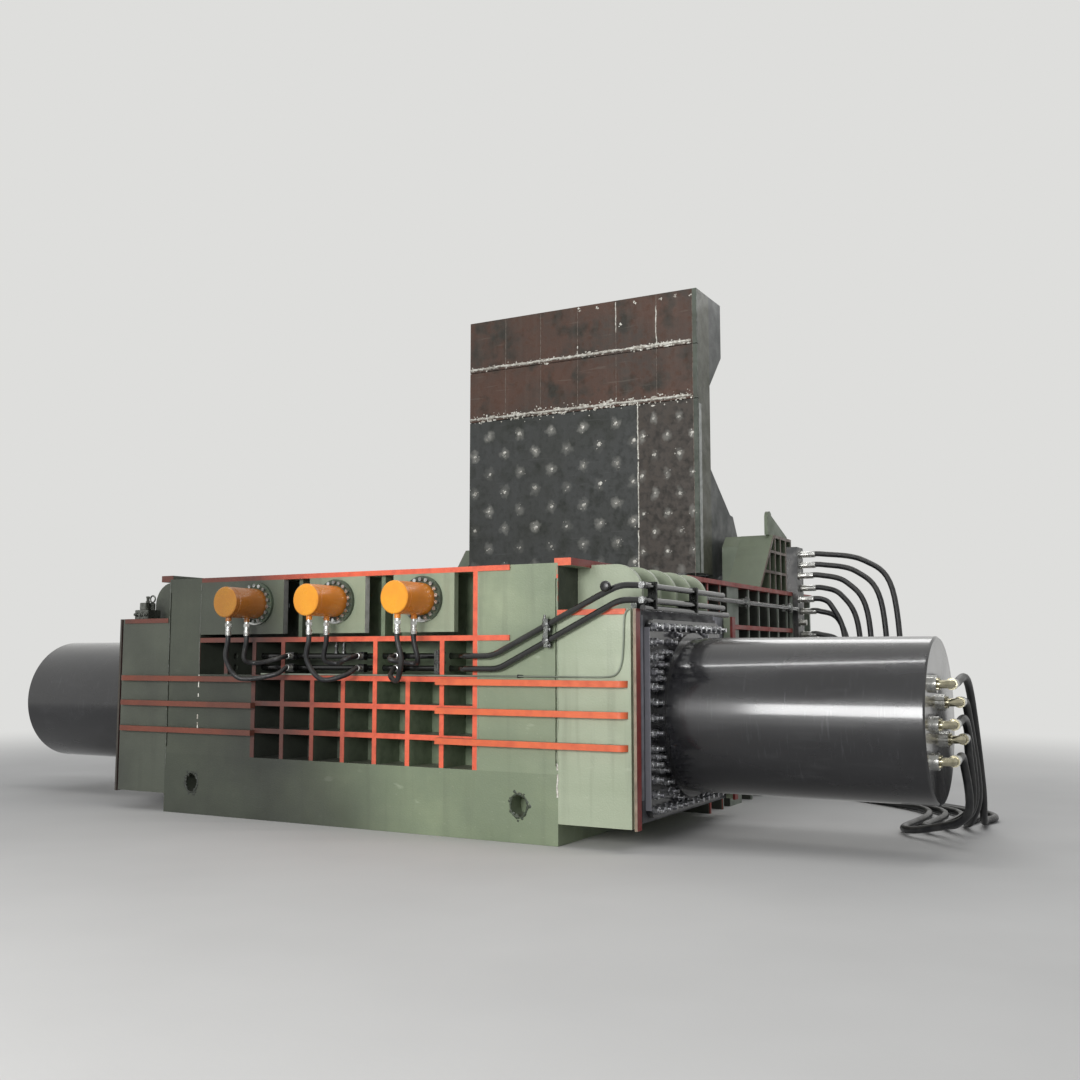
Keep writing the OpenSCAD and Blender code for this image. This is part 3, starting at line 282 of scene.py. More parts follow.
# Main hoses: five big pressure hoses from the manifold, down behind the right main cylinder and up to the elbows
# on its cap. Rubber over four wire spirals, with crimped ferrules at both ends.
hose_width = 0.06
big_ferrule = crimped_sleeve(0.0345, 0.09, hose_width)
barrel_z = 0.95
elbow_x = 4.754
# The elbows on the cap, from its centre, and the manifold's fittings, each as y and z
cap_ports = [(-0.29, 0.27), (0.03, 0.13), (-0.245, -0.02), (0.125, -0.145), (-0.29, -0.275)]
manifold_ports = [(3.97, 2.56), (3.97, 2.44), (3.875, 2.315), (3.97, 2.18), (3.875, 2.05)]
# The end face of the manifold's fittings
mx = 2.57
# The hoses' axis lies this high when they lie on the ground
low = 0.038
for i in range(5):
    (py, pz), (my, mz) = cap_ports[i], manifold_ports[i]
    x, y, z = elbow_x, py + 0.125, barrel_z + pz
    far = mx + 1.05 - 0.14 * i
    lane = x - 0.06 - 0.13 * i
    turn_y = 1.31 - 0.19 * i
    over = i % 2 == 0
    # Every second hose reaches its elbow nearly level, the others hang lower there
    rise_y = max(0.5 * (turn_y + y) - (0.01 if over else 0.16), y + 0.19)
    route = [Vector(p) for p in (
        (mx, my, mz), (mx + 0.17, my, mz), (mx + 0.6 * (far - mx), my - 0.02, mz - 0.09),
        (mx + 0.9 * (far - mx), my - 0.09, mz - 0.42), (far, my - 0.22, 0.45 * mz - 0.06),
        (far + 0.01, 3.4, 0.33), (far + 0.03, 2.95, low + 0.025), (lane - 0.04, 2.05, low),
        (lane, turn_y + 0.3, low), (0.5 * (lane + x), turn_y, low + 0.06), (x, turn_y - 0.24, 0.33 + 0.3 * pz),
        (x, rise_y, z - (0.025 if over else 0.09)), (x, y + 0.13, z), (x, y, z))]
    mesh = bmesh.new()
    turned(mesh, big_ferrule, route[0], (1, 0, 0))
    turned(mesh, big_ferrule, route[-1], (0, 1, 0))
    lay_hose("main_hose", i + 1, route, hose_width, mesh)

# Hoses that run on: two more of the same hoses come down from the manifold and lie on the ground behind the
# machine, each closed with a screwed steel coupling.
for number, my, mz, spread in ((1, 3.97, 1.92, 0.0), (2, 3.97, 1.66, 0.18)):
    route = [Vector(p) for p in (
        (mx, my, mz), (mx + 0.12, my, mz), (mx + 0.33, my + 0.05, mz - 0.11),
        (mx + 0.44 - spread, my + 0.14, mz - 0.6), (mx + 0.5 - spread, my + 0.26, 0.42),
        (mx + 0.62 - spread, my + 0.52, low + 0.045), (mx + 0.8 - spread, my + 0.9, low),
        (mx + 1.1 - spread, my + 1.35, low))]
    mesh = bmesh.new()
    turned(mesh, big_ferrule, route[0], (1, 0, 0))
    end_way = (route[-1] - route[-2]).normalized()
    turned(mesh, crimped_sleeve(0.036, 0.124, hose_width), route[-1] - 0.06 * end_way, end_way)
    turned(mesh, [(0.06, 0.026), (0.06, 0.037), (0.1, 0.037), (0.1, 0.03), (0.14, 0.03), (0.145, 0.026)], route[-1],
           end_way, 6)
    lay_hose("side_hose", number, route, hose_width, mesh, "couplings")


# Body weldment: bed, front wall and fixed beam, welded from thick mild steel plate. Sprayed alkyd enamel in sage
# green, thin and uneven, and red-orange primer left on the flame-cut edges of ribs and flanges.
def painted_left_shade(place, base, share):
    """Painted shade, which darkens the machine more and more towards its left end and its foot."""
    along = add_node(place, "VectorMath", {"operation": "DOT_PRODUCT", 1: (1, 0, 0.4)},
                     {0: place.outputs["Object"]}).outputs["Value"]
    leftward = add_node(place, "MapRange", {"interpolation_type": "SMOOTHSTEP", "From Min": 1.0, "From Max": -0.35},
                        {"Value": along}).outputs[0]
    uneven = add_node(place, "MapRange", {"To Min": 0.9, "To Max": 1.0},
                      {"Value": patches(place, 700, (0.35, 0.65), 3)}).outputs[0]
    film = add_node(place, "Math", {"operation": "MULTIPLY"}, {0: leftward, 1: uneven}).outputs[0]
    return coat(place, film, base, "#2d2e2c", share)


def sprayed_enamel(name, colour, shade, areas=(), mirror=False, dark_film=0.0):
    """Sprayed alkyd enamel on plate: uneven passes, faint runs, grey dust on the ledges, a soft satin gloss.
    Areas are places in another colour, each a hex value, a darker one for its patches, and its boxes."""
    material, shader, place = new_material(name)
    patch = patches(place, 1100, (0.38, 0.62))
    cloud = patches(place, 200, (0.4, 0.7))
    base = coat(place, patch, colour, shade, 0.75)
    base = coat(place, cloud, base, shade, 0.45)
    # The gun passes from side to side, each pass 250 mm high, and thin runs hang from it
    base = coat(place, patches(place, 250, (0.45, 0.7), 3, (0.12, 1, 1)), base, shade, 0.5)
    base = coat(place, patches(place, 110, (0.54, 0.76), 4, (1, 1, 0.07)), base, "#565a4c", 0.3)
    # Zinc-white chalk marks and grinding marks, rubbed on by hand
    base = coat(place, patches(place, 260, (0.66, 0.74), 5, (1, 1, 2.5)), base, "#c3cab4", 0.3)
    worn = patches(place, 70, (0.42, 0.7))
    for tint, dark, boxes in areas:
        base = coat(place, box_mask(place, boxes, mirror), base, coat(place, worn, tint, dark, 0.6))
    base = coat(place, patches(place, 21, (0.68, 0.76), 2), base, "#c0c1b0", 0.14)
    base = coat(place, facing_up(place), base, "#77766a", 0.7)
    # Painted shade, darker towards the left end and the foot
    if dark_film:
        base = painted_left_shade(place, base, dark_film)
    # Orange peel is 3 mm across, drawn at 12 mm so that it shows, and the plate itself is a little wavy
    return surface(material, shader, base, cloud, (0.34, 0.58),
                   [(patches(place, 450, (0.2, 0.8), 2), 6),
                    (patches(place, 12, (0.3, 0.7), 3), 0.7)])


def dress(material, *nodes):
    """Gives carried-over solids their finish."""
    for node in nodes:
        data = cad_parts[node].data
        data.materials.clear()
        data.materials.append(material)


# How much of the enamel's colour the painted shade hides at the left end
left_shade_share = 0.92
sage_front = sprayed_enamel("sage_enamel_front", "#99a386", "#7c8870", [
    # Painted shade: the cells and the recess are darker inside, and a painted shadow darkens the pillar's right flank
    ("#76836a", "#58644f", [((-1.65, -1.095, 0.532), (1.287, -0.5, 1.62)), ((-1.65, -1.03, 1.58), (1.33, -0.5, 2.09)),
                            ((-1.62, -1.095, 1.58), (1.287, -1.03, 2.09))]),
    ("#343930", "#282c26", [((2.0485, -1.0945, 1.77), (2.0515, -0.6, 2.11))]),
    ("#ea694a", "#c2503c", [((x, -1.104, z), (right, -1.0945, top)) for x, right, z, top in (
        (-1.02, 1.33, 0.532, 1.593), (-1.65, 1.33, 1.262, 1.593), (1.287, 1.33, 0.53, 2.09),
        (-1.65, 1.33, 2.085, 2.135), (2.037, 2.052, 1.77, 2.11))] + [
        ((1.33, -1.12, z), (1.64, -1.105, top)) for z, top in ((1.53, 1.60), (2.085, 2.135))])], dark_film=left_shade_share)
dress(sage_front, "front_wall", "top_beam")
dress(sprayed_enamel("sage_enamel", "#909b7e", "#727e66", dark_film=left_shade_share), "bed")

# End blocks and lock panels: the same plate in a lighter coat of the enamel, with orange primer on the roof edge, red
# primer on the bar at the outer end and on the cut edges of the top flange and the gussets. The top flange's right
# edge is a darker red than its orange front edge, as painted shade.
end_block_enamel = sprayed_enamel("pale_sage_enamel", "#adb69e", "#9aa48b", [
    ("#df6a48", "#c04c3a", [((2.05, -1.12, 1.725), (2.62, -1.101, 1.775)),
                            ((2.01, -1.104, 2.105), (2.17, -1.096, 2.17))]),
    # Dark red primer on the outer bar, and the same dark red on the top flange's right edge as painted shade
    ("#903a35", "#68302d", [((2.6755, -1.12, 0.1), (2.7, -1.01, 1.78)), ((2.6755, 1.01, 0.1), (2.7, 1.12, 1.78)),
                            ((2.1635, -1.12, 2.105), (2.17, 0.7, 2.17))]),
    ("#94836f", "#5b473a", [((2.6755, -1.12, 0.1), (2.7, -1.0975, 1.78))])], True, left_shade_share)
dress(end_block_enamel, "right_end_block", "left_end_block")
dress(sprayed_enamel("panel_enamel", "#9ea78e", "#848f77", [
    # Bare ground edges on the panels' right sides
    ("#dcded9", "#9fa19b", [((x - 0.0015, -1.0985, 1.6), (x + 0.0015, -1.03, 2.2)) for x in (-0.67, 0.22)])],
    dark_film=left_shade_share), "lock_panels")


# Side bands: flame-cut flat bars with round ends, three on each side, fillet-welded across pillar and end block, in
# orange-red primer with dust on top.
def band_primer():
    """Sprayed red oxide primer, matte, with green-grey dust on top and rubbed edges."""
    material, shader, place = new_material("orange_red_primer")
    worn = patches(place, 110, (0.4, 0.7))
    base = coat(place, worn, "#df6a3f", "#bc5034", 0.6)
    base = coat(place, facing_up(place), base, "#6f7867", 0.8)
    # Painted shade, darker towards the left end and the foot
    base = painted_left_shade(place, base, 0.85)
    return surface(material, shader, base, worn, (0.4, 0.62), [(patches(place, 11, (0.3, 0.7), 3), 0.8)])


dress(band_primer(), "front_bands")

# Side walls, rear frame and pedestals: ribbed weldments of the same plate and enamel. The long flanges and the
# first ribs keep their dark red primer, and the ribs of the pedestals are brown.
sage_side = sprayed_enamel("sage_enamel_side", "#8f978b", "#6f766b", [
    # Painted shade: the side walls are darker between the ribs, behind the ribs' outer edges
    ("#4a4d46", "#353833", [((2.05, 0.6, 0.0), (2.395, 3.8, 2.087))]),
    ("#a04a42", "#6d352f", [((2.40, 0.6, 0.0), (2.45, 1.5, 2.135)), ((2.40, 0.6, 1.675), (2.45, 3.8, 1.725)),
                            ((2.2, 0.6, 2.087), (2.45, 4.7, 2.135))])], True)
dress(sage_side, "right_side_wall", "left_side_wall")
dress(sprayed_enamel("sage_enamel_rear_frame", "#7b8571", "#626b5a"), "rear_frame")
for node in ("right_pedestal", "left_pedestal"):
    lows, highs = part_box(node)
    face = max(abs(lows[0]), abs(highs[0]))
    dress(sprayed_enamel("sage_enamel_" + node, "#747f69", "#596351", [
        ("#6b5a4f", "#4c453e", [((face - 0.006, 2.0, 2.1), (face + 0.002, 5, 3.5))])], True), node)


# End plates: thick machined plate behind each main cylinder, in pale grey undercoat, with grease round the studs
# and oil along the foot.
def undercoat():
    """Brushed grey undercoat on a machined plate: matte, streaky, greasy towards the middle."""
    material, shader, place = new_material("grey_undercoat")
    streak = patches(place, 330, (0.4, 0.65), 4, (1, 1, 0.2))
    grease = patches(place, 170, (0.45, 0.65), 3)
    base = coat(place, streak, "#a9a9b0", "#85868b", 0.7)
    # Clean near the front edge, black with oil towards the flange and along the foot
    oily = box_mask(place, [((2, -0.79, 0), (3, 0.79, 2)), ((2, -2, 0), (3, 2, 0.34))], True)
    base = coat(place, oily, coat(place, grease, base, "#4c4c50", 0.4), "#303034", 0.85)
    return surface(material, shader, base, grease, (0.35, 0.6), [(patches(place, 8, (0.3, 0.7), 3), 0.6)])


dress(undercoat(), "right_end_plate", "left_end_plate")


# Main cylinders: forged steel tubes under glossy black enamel, dusty and smeared with hydraulic oil. The side and
# lid cylinders and the pipes get the same enamel, and the pipes' clamps are dull zinc, painted over the end plate.
def black_enamel(name, colour, haze, gloss, dust, pale_faces=()):
    """Black gloss enamel: nearly a mirror at a low angle, dulled in patches by dust and dried oil."""
    material, shader, place = new_material(name)
    film = patches(place, 450, (0.35, 0.7), 4, (0.5, 1, 1))
    rub = patches(place, 70, (0.55, 0.8), 4, (0.25, 1, 1))
    # Scuffs round the barrel from slings, and long scratches along it
    scuff = patches(place, 60, (0.6, 0.75), 4, (3.5, 0.35, 0.35))
    base = coat(place, film, colour, haze, 0.5)
    base = coat(place, rub, base, "#4a4a4c", 0.2)
    base = coat(place, scuff, base, "#66666a", 0.16)
    base = coat(place, facing_up(place, 0.75, 1.0), base, "#6b6862", dust)
    if pale_faces:
        base = coat(place, box_mask(place, pale_faces, True), base, "#b3b2ba")
    shader.inputs["Coat Weight"].default_value = 0.8
    shader.inputs["Coat Roughness"].default_value = 0.1
    return surface(material, shader, base, film, (gloss, gloss + 0.16),
                   [(patches(place, 330, (0.2, 0.8), 2), 1.2),
                    (patches(place, 7, (0.3, 0.7), 2), 0.15)])


dress(black_enamel("black_cylinder_enamel", "#151518", "#232326", 0.2, 0.2),
      "side_barrels", "right_lid_barrel", "left_lid_barrel")
# The main cylinders' square flange is painted pale grey on its front edge
dress(black_enamel("black_flanged_cylinder_enamel", "#151518", "#232326", 0.2, 0.2,
                   [((2.6, -0.78, 0.2), (2.8, -0.765, 1.9))]), "right_barrel", "left_barrel")
dress(black_enamel("black_pipe_enamel", "#080908", "#121311", 0.16, 0.0), "front_pipes", "side_pipes")
dress(zinc_plate("dulled_zinc_clamps", "#777975", "#3c3e40", [((2.6, -1, 1.7), (2.8, 0.3, 2.1))]), "pipe_clamps")


# Studs and screws: rolled alloy steel, black-oxided, which hold the cylinders' flanges. They are oily, with bright
# wear on crests and corners.
def oxide_steel(name, colour, bright):
    """Black-oxided steel under a film of oil: dark, with bright rubbed corners."""
    material, shader, place = new_material(name)
    rub = patches(place, 65, (0.42, 0.58), 3)
    shader.inputs["Metallic"].default_value = 1
    # The thread's pitch is 3 mm, drawn at 8 mm so that it shows
    thread = add_node(place, "TexWave", {"Scale": 20, "bands_direction": "X"}, {"Vector": place.outputs["Object"]})
    return surface(material, shader, coat(place, rub, colour, bright, 0.8), rub, (0.45, 0.24),
                   [(thread.outputs[1], 0.35)])


dress(oxide_steel("oiled_black_oxide", "#87878c", "#e6e7e9"), "barrel_studs")
dress(oxide_steel("rubbed_black_oxide", "#8c8d8b", "#eceded"), "lock_screws")


# Lock cylinders: honed tubes in orange-yellow gloss enamel. The flange is green, and the ports end in zinc-plated
# hexagon adapters.
def lock_enamel():
    """Orange gloss enamel on steel, with the green flange and the plated adapters of the same piece."""
    material, shader, place = new_material("orange_lock_enamel")
    patch = patches(place, 140, (0.4, 0.7))
    base = coat(place, patch, "#e58c2c", "#cf7a2a", 0.55)
    # Painted light: the caps' front faces are a lighter orange than the barrels, as if lit from the front
    base = coat(place, box_mask(place, [((-2, -1.5105, 1.6), (2, -1.5035, 2.2))]), base,
                coat(place, patch, "#f6a72e", "#ee9a2a"))
    base = coat(place, patches(place, 25, (0.64, 0.74), 3), base, "#b9743a", 0.2)
    # Painted shade, darker towards the left end, so the left lock cylinder is the darkest
    base = painted_left_shade(place, base, 0.6)
    flange = box_mask(place, [((-2, -1.1312, 1.6), (2, -1.0, 2.2))])
    base = coat(place, flange, base, coat(place, patch, "#4a5546", "#2f362d"))
    plated = box_mask(place, [((-2, -2, 1.5), (2, -1.0, 1.7145))])
    base = coat(place, plated, base, coat(place, patch, "#d9dad8", "#8b8c86"))
    material.node_tree.links.new(plated, shader.inputs["Metallic"])
    return surface(material, shader, base, patch, (0.26, 0.4), [(patches(place, 11, (0.3, 0.7), 3), 0.5)])


dress(lock_enamel(), "lock_cylinder_left", "lock_cylinder_middle", "lock_cylinder_right")


# Rods, bolts and pins: forged steel, ground and hard-chromed, running in the cylinders and the hinge eyes, with a
# thin film of oil.
def hard_chrome():
    """Hard chrome over ground steel: bright, with fine rings from the grinding and a film of oil."""
    material, shader, place = new_material("hard_chrome")
    film = patches(place, 80, (0.4, 0.7), 3)
    shader.inputs["Metallic"].default_value = 1
    return surface(material, shader, coat(place, film, "#c6c8c9", "#9b9c98", 0.6), film, (0.12, 0.3),
                   [(patches(place, 2.5, (0.3, 0.7), 1), 0.1)])


dress(hard_chrome(), "lock_bolt_left", "lock_bolt_middle", "lock_bolt_right", "right_ram_rod", "left_ram_rod",
      "right_lid_rod", "left_lid_rod", "hinge_pins", "lid_foot_pins", "side_rods")


# Press heads and side ram: cast blocks faced with bolted wear plates of bare steel, scored along their travel by
# the scrap that they push.
def scored_steel():
    """Bare wear plate: dull grey steel, scored along the travel, with rust starting in the hollows."""
    material, shader, place = new_material("scored_wear_plate")
    score = patches(place, 330, (0.35, 0.65), 4, (1, 12, 12))
    rust = patches(place, 250, (0.55, 0.75))
    shader.inputs["Metallic"].default_value = 0.8
    base = coat(place, rust, coat(place, score, "#7d7c79", "#6b6a67"), "#5f4a3d", 0.4)
    return surface(material, shader, base, rust, (0.38, 0.75), [(score, 1), (rust, 0.8)])


dress(scored_steel(), "right_press_head", "left_press_head", "side_ram")


# Elbows and manifold: yellow-passivated elbows on bright port flanges, whose hose collars are painted white, and a
# dark steel manifold block with zinc-plated fittings.
def plated_elbows():
    """Zinc-plated steel, yellow passivated: pale brass-grey and shiny, with bright flanges and white collars."""
    material, shader, place = new_material("yellow_passivated_zinc")
    patch = patches(place, 45, (0.35, 0.65), 3)
    flange = box_mask(place, [((4.63, -1, 0), (4.6695, 1, 2))], True)
    collars = box_mask(place, [
        ((4.70, y + 0.0755, barrel_z + z - 0.045), (4.81, y + 0.1265, barrel_z + z + 0.045))
        for y, z in cap_ports], True)
    base = coat(place, flange, coat(place, patch, "#b8b29a", "#8b8672", 0.7), "#c9c9c5")
    base = coat(place, collars, base, coat(place, patch, "#e3e3de", "#b5b5ae", 0.5))
    metal = add_node(place, "Math", {"operation": "SUBTRACT", 0: 0.95}, {1: collars}).outputs[0]
    material.node_tree.links.new(metal, shader.inputs["Metallic"])
    return surface(material, shader, base, patch, (0.16, 0.32), [(patches(place, 30, (0.3, 0.7), 2), 0.3)])


dress(plated_elbows(), "right_cap_elbows", "left_cap_elbows")


def manifold_steel():
    """Milled steel block under thin dark paint, with bright zinc-plated fittings screwed in."""
    material, shader, place = new_material("painted_manifold_block")
    patch = patches(place, 125, (0.4, 0.65), 3)
    plated = box_mask(place, [((2.4902, 3, 1), (3, 5, 3))])
    base = coat(place, plated, coat(place, patch, "#4b4a48", "#373838"), coat(place, patch, "#dcdcd8", "#96968f"))
    material.node_tree.links.new(plated, shader.inputs["Metallic"])
    return surface(material, shader, base, patch, (0.26, 0.46), [(patches(place, 8, (0.3, 0.7), 2), 0.4)])


dress(manifold_steel(), "hose_manifold")


# Lid: deep ribbed box of plate in dark green-grey enamel, dusty and stained from standing open. Its right side is
# mottled, browner near the face, with a bare ground strip up the front edge.
dress(sprayed_enamel("dark_lid_enamel", "#4b5048", "#393d38", [
    ("#4f5042", "#33352a", [((1.5285, 3.2, 2.1), (1.5315, 3.7, 5.7))]),
    ("#3d413f", "#2a2e2c", [((1.5285, 3.7, 2.1), (1.5315, 6, 5.7))]),
    ("#b4b6b1", "#676c66", [((1.5285, 3.298, 2.1), (1.5315, 3.42, 4.3))])]), "lid")


# Liner plates on the lid's inner face: hot-rolled wear plate. The two upper bands are bare and brown with rust,
# the lower field is dark, with a browner plate on its right, and each plug weld has burnt a pale ring round itself.
def plug_halo(place, first_x, pitch_x, first_z, pitch_z):
    """1 at the plug welds of one field, which stand in staggered columns, fading out over some 50 mm."""
    ways = []
    for sign in (1, -1):
        dot = add_node(place, "VectorMath",
                       {"operation": "DOT_PRODUCT", 1: (0.5 / pitch_x, 0, sign / pitch_z)},
                       {0: place.outputs["Object"]}).outputs["Value"]
        shift = -0.5 * first_x / pitch_x - sign * first_z / pitch_z
        ways.append(add_node(place, "Math", {"operation": "ADD", 1: shift}, {0: dot}).outputs[0])
    lattice = add_node(place, "CombineXYZ", {}, {0: ways[0], 1: ways[1]}).outputs[0]
    wobble = add_node(place, "TexNoise", {"Scale": 14, "Detail": 3},
                      {"Vector": place.outputs["Object"]}).outputs["Color"]
    pushed = add_node(place, "VectorMath", {"operation": "SUBTRACT", 1: (0.5, 0.5, 0.5)}, {0: wobble})
    small = add_node(place, "VectorMath", {"operation": "SCALE", "Scale": 0.42}, {0: pushed.outputs[0]})
    at = add_node(place, "VectorMath", {"operation": "ADD"}, {0: lattice, 1: small.outputs[0]})
    spots = add_node(place, "TexVoronoi", {"voronoi_dimensions": "2D", "Scale": 1, "Randomness": 0},
                     {"Vector": at.outputs[0]})
    near = add_node(place, "MapRange", {"From Min": 0.27, "From Max": 0.05},
                    {"Value": spots.outputs["Distance"]}).outputs[0]
    # Some welds are ground brighter than others
    share = add_node(place, "SeparateColor", {}, {0: spots.outputs["Color"]}).outputs[0]
    level = add_node(place, "MapRange", {"To Min": 0.2, "To Max": 1.0}, {"Value": share}).outputs[0]
    return add_node(place, "Math", {"operation": "MULTIPLY"}, {0: near, 1: level}).outputs[0]


# The lid's face, the seam between the field's two plates, and the plug welds of each: x and z, each with its pitch
lid_y = 3.3
seam_x = 0.785
left_plugs = (-1.46, 0.2185, 3.915, 0.47)
right_plugs = (0.835, 0.157, 3.945, 0.445)


def rolled_plate(name, skin, rust, pale, share, burnt=()):
    """Hot-rolled plate: dark mill scale, brown rust in cloudy patches, pale scrapes, a dull sheen."""
    material, shader, place = new_material(name)
    cloud = patches(place, 620, (0.38, 0.62), 5)
    fine = patches(place, 63, (0.4, 0.68))
    base = coat(place, cloud, skin, rust, share)
    base = coat(place, fine, base, rust, share * 0.6)
    # Oil and weld smoke, black-green, in patches
    dark_film = patches(place, 230, (0.52, 0.7))
    base = coat(place, dark_film, base, "#1d2119", 0.8)
    base = coat(place, patches(place, 90, (0.5, 0.72), 4, (1, 1, 0.07)), base, pale, 0.12)
    base = coat(place, patches(place, 500, (0.66, 0.72), 3, (1, 1, 14)), base, pale, 0.3)
    if burnt:
        # The narrow plate on the right has rusted, the wide one hasn't
        brown = box_mask(place, [((seam_x, 3, 2), (1.6, 4, 5))])
        base = coat(place, brown, base, coat(place, fine, "#463a30", "#332d28"), 0.7)
    for where, field in burnt:
        halo = plug_halo(place, *field)
        side = box_mask(place, [where])
        spot = add_node(place, "Math", {"operation": "MULTIPLY"}, {0: halo, 1: side}).outputs[0]
        base = coat(place, spot, base, "#97968f", 0.8)
    # The right end got a coat of the lid's enamel
    edge = box_mask(place, [((1.478, 3, 2), (1.54, 4, 5.7))])
    base = coat(place, edge, base, coat(place, cloud, "#5c655a", "#484f47"), 0.85)
    return surface(material, shader, base, fine, (0.42, 0.75), [(cloud, 2), (fine, 1.2)])


dress(rolled_plate("rusty_rolled_plate", "#41352d", "#553a2d", "#6f665d", 0.85), "lid_liner_nose", "lid_liner_band")
dress(rolled_plate("dark_rolled_plate", "#3c3e3d", "#333531", "#525353", 0.7, [
    (((-2, 3, 2), (seam_x, 4, 4.3)), left_plugs), (((seam_x, 3, 2), (1.6, 4, 4.3)), right_plugs)]),
    "lid_liner_field")


# Weld beads: hand-laid runs of weld metal along the main seams, rippled and uneven, wire-brushed and unpainted,
# with drops of spatter round them.
def weld_metal(name, bright, dull):
    """Weld metal, wire-brushed: pale grey, rippled, with white spatter dust and first rust."""
    material, shader, place = new_material(name)
    patch = patches(place, 38, (0.4, 0.65), 3)
    shader.inputs["Metallic"].default_value = 0.4
    return surface(material, shader, coat(place, patch, bright, dull, 0.8), patch, (0.42, 0.7),
                   [(patches(place, 7, (0.3, 0.7), 3), 1)])


weld = weld_metal("brushed_weld_metal", "#d8d6cd", "#8d8478")
forward = Vector((0, -1, 0))


def bead(mesh, start, end, width, seed, gaps=0.0):
    """Adds one run of weld to a bmesh: half-round, rippled every 14 mm, standing out to the front."""
    rng = random.Random(seed)
    start = Vector(start)
    along = Vector(end) - start
    count = max(2, int(along.length / 0.014))
    across = along.normalized().cross(forward)
    last = None
    size = width
    drift = 0.0
    for i in range(count + 1):
        size = 0.75 * size + 0.25 * width * rng.uniform(0.5, 1.6)
        drift = 0.8 * drift + rng.uniform(-0.16, 0.16) * width
        if rng.random() < gaps:
            last = None
            continue
        ripple = 1 + 0.16 * (i % 2)
        at = start + along * (i / count) + across * drift
        ring = [mesh.verts.new(at + across * (size / 2 * math.cos(a)) * ripple
                               + forward * (0.42 * size * math.sin(a)) * ripple - forward * 0.001)
                for a in [math.pi * k / 5 for k in range(6)]]
        if last:
            for a, b, c, d in zip(last, last[1:], ring[1:], ring):
                mesh.faces.new((a, b, c, d))
        last = ring


def spatter(mesh, rng, at, size, long=1.0):
    """Adds one flat drop of weld metal to a bmesh, uneven in outline, standing out to the front.
    A drop that was dragged out with the torch is longer than wide."""
    spin = forward.to_track_quat("Z", "Y").to_matrix()
    rings = []
    for height, share in ((-0.001, 1.0), (0.1 * size, 0.85), (0.2 * size, 0.4)):
        rings.append([mesh.verts.new(Vector(at) + spin @ Vector(
            (size * long * share * rng.uniform(0.6, 1.3) * math.cos(k * math.pi / 4),
             size * share * rng.uniform(0.6, 1.3) * math.sin(k * math.pi / 4), height))) for k in range(8)])
    for low, high in zip(rings, rings[1:]):
        for k in range(8):
            mesh.faces.new((low[k], low[(k + 1) % 8], high[(k + 1) % 8], high[k]))
    mesh.faces.new(rings[-1])


def upright(mesh, x, y, low, high, width, seed, gaps=0.0):
    """Adds one upright run of weld to a bmesh."""
    bead(mesh, (x, y, low), (x, y, high), width, seed, gaps)


mesh = bmesh.new()
rng = random.Random(3)
upper_seam, lower_seam, liner_top = 5.03, 4.39, 5.62
# Spatter and bursts of it lie thick along the lower seam, whose edges were gouged with the torch
for z, seed, drops, reach, bursts, burst_reach in ((upper_seam, 11, 160, 0.016, 12, 0.014),
                                                   (lower_seam, 12, 280, 0.034, 20, 0.026)):
    bead(mesh, (-1.53, lid_y, z), (1.46, lid_y, z), 0.026, seed, 0.02)
    bead(mesh, (-1.53, lid_y, z + 0.006), (1.46, lid_y, z + 0.006), 0.020, seed + 6, 0.08)
    for drop in range(drops):
        spatter(mesh, rng, (rng.uniform(-1.52, 1.47), lid_y, z + rng.gauss(0, reach)), rng.uniform(0.004, 0.012))
    for burst in range(bursts):
        x = rng.uniform(-1.45, 1.42)
        for drop in range(8):
            spatter(mesh, rng, (x + rng.gauss(0, 0.05), lid_y, z + rng.gauss(0, burst_reach)),
                    rng.uniform(0.006, 0.015), rng.uniform(0.7, 3.2))
upright(mesh, 0.51, lid_y, 5.25, liner_top, 0.011, 24, 0.05)
upright(mesh, 1.03, lid_y, upper_seam, 5.5, 0.015, 25, 0.03)
upright(mesh, 0.0, lid_y, upper_seam, 5.15, 0.012, 26, 0.03)
upright(mesh, seam_x, lid_y, 2.36, lower_seam, 0.015, 41, 0.03)
# Torch-cut stubs of lifting cleats along the top edge
for x, z in ((0.03, 5.6), (0.26, 5.59), (0.76, 5.58), (1.08, 5.58), (1.27, 5.59), (1.46, 5.57), (0.56, 5.336)):
    for part in range(5):
        spatter(mesh, rng, (x + rng.uniform(-0.02, 0.02), lid_y, z + rng.uniform(-0.02, 0.02)),
                rng.uniform(0.006, 0.014))
lid_beads = link_mesh("lid_weld_beads", mesh, weld)
# Thin upright seams between the strips of the upper bands, rusted over
mesh = bmesh.new()
for k, x in enumerate((-1.01, -0.51, 0.0, 0.51, 1.03)):
    upright(mesh, x, lid_y, upper_seam, liner_top, 0.007, 51 + k)
    upright(mesh, x, lid_y, lower_seam, upper_seam, 0.006, 31 + k)
upright(mesh, 1.477, lid_y, 2.3, 5.6, 0.006, 42)
thin_beads = link_mesh("lid_thin_seams", mesh, weld_metal("rusted_weld_metal", "#7b736b", "#55463c"))
for piece in (lid_beads, thin_beads):
    fasten(piece, "lid")

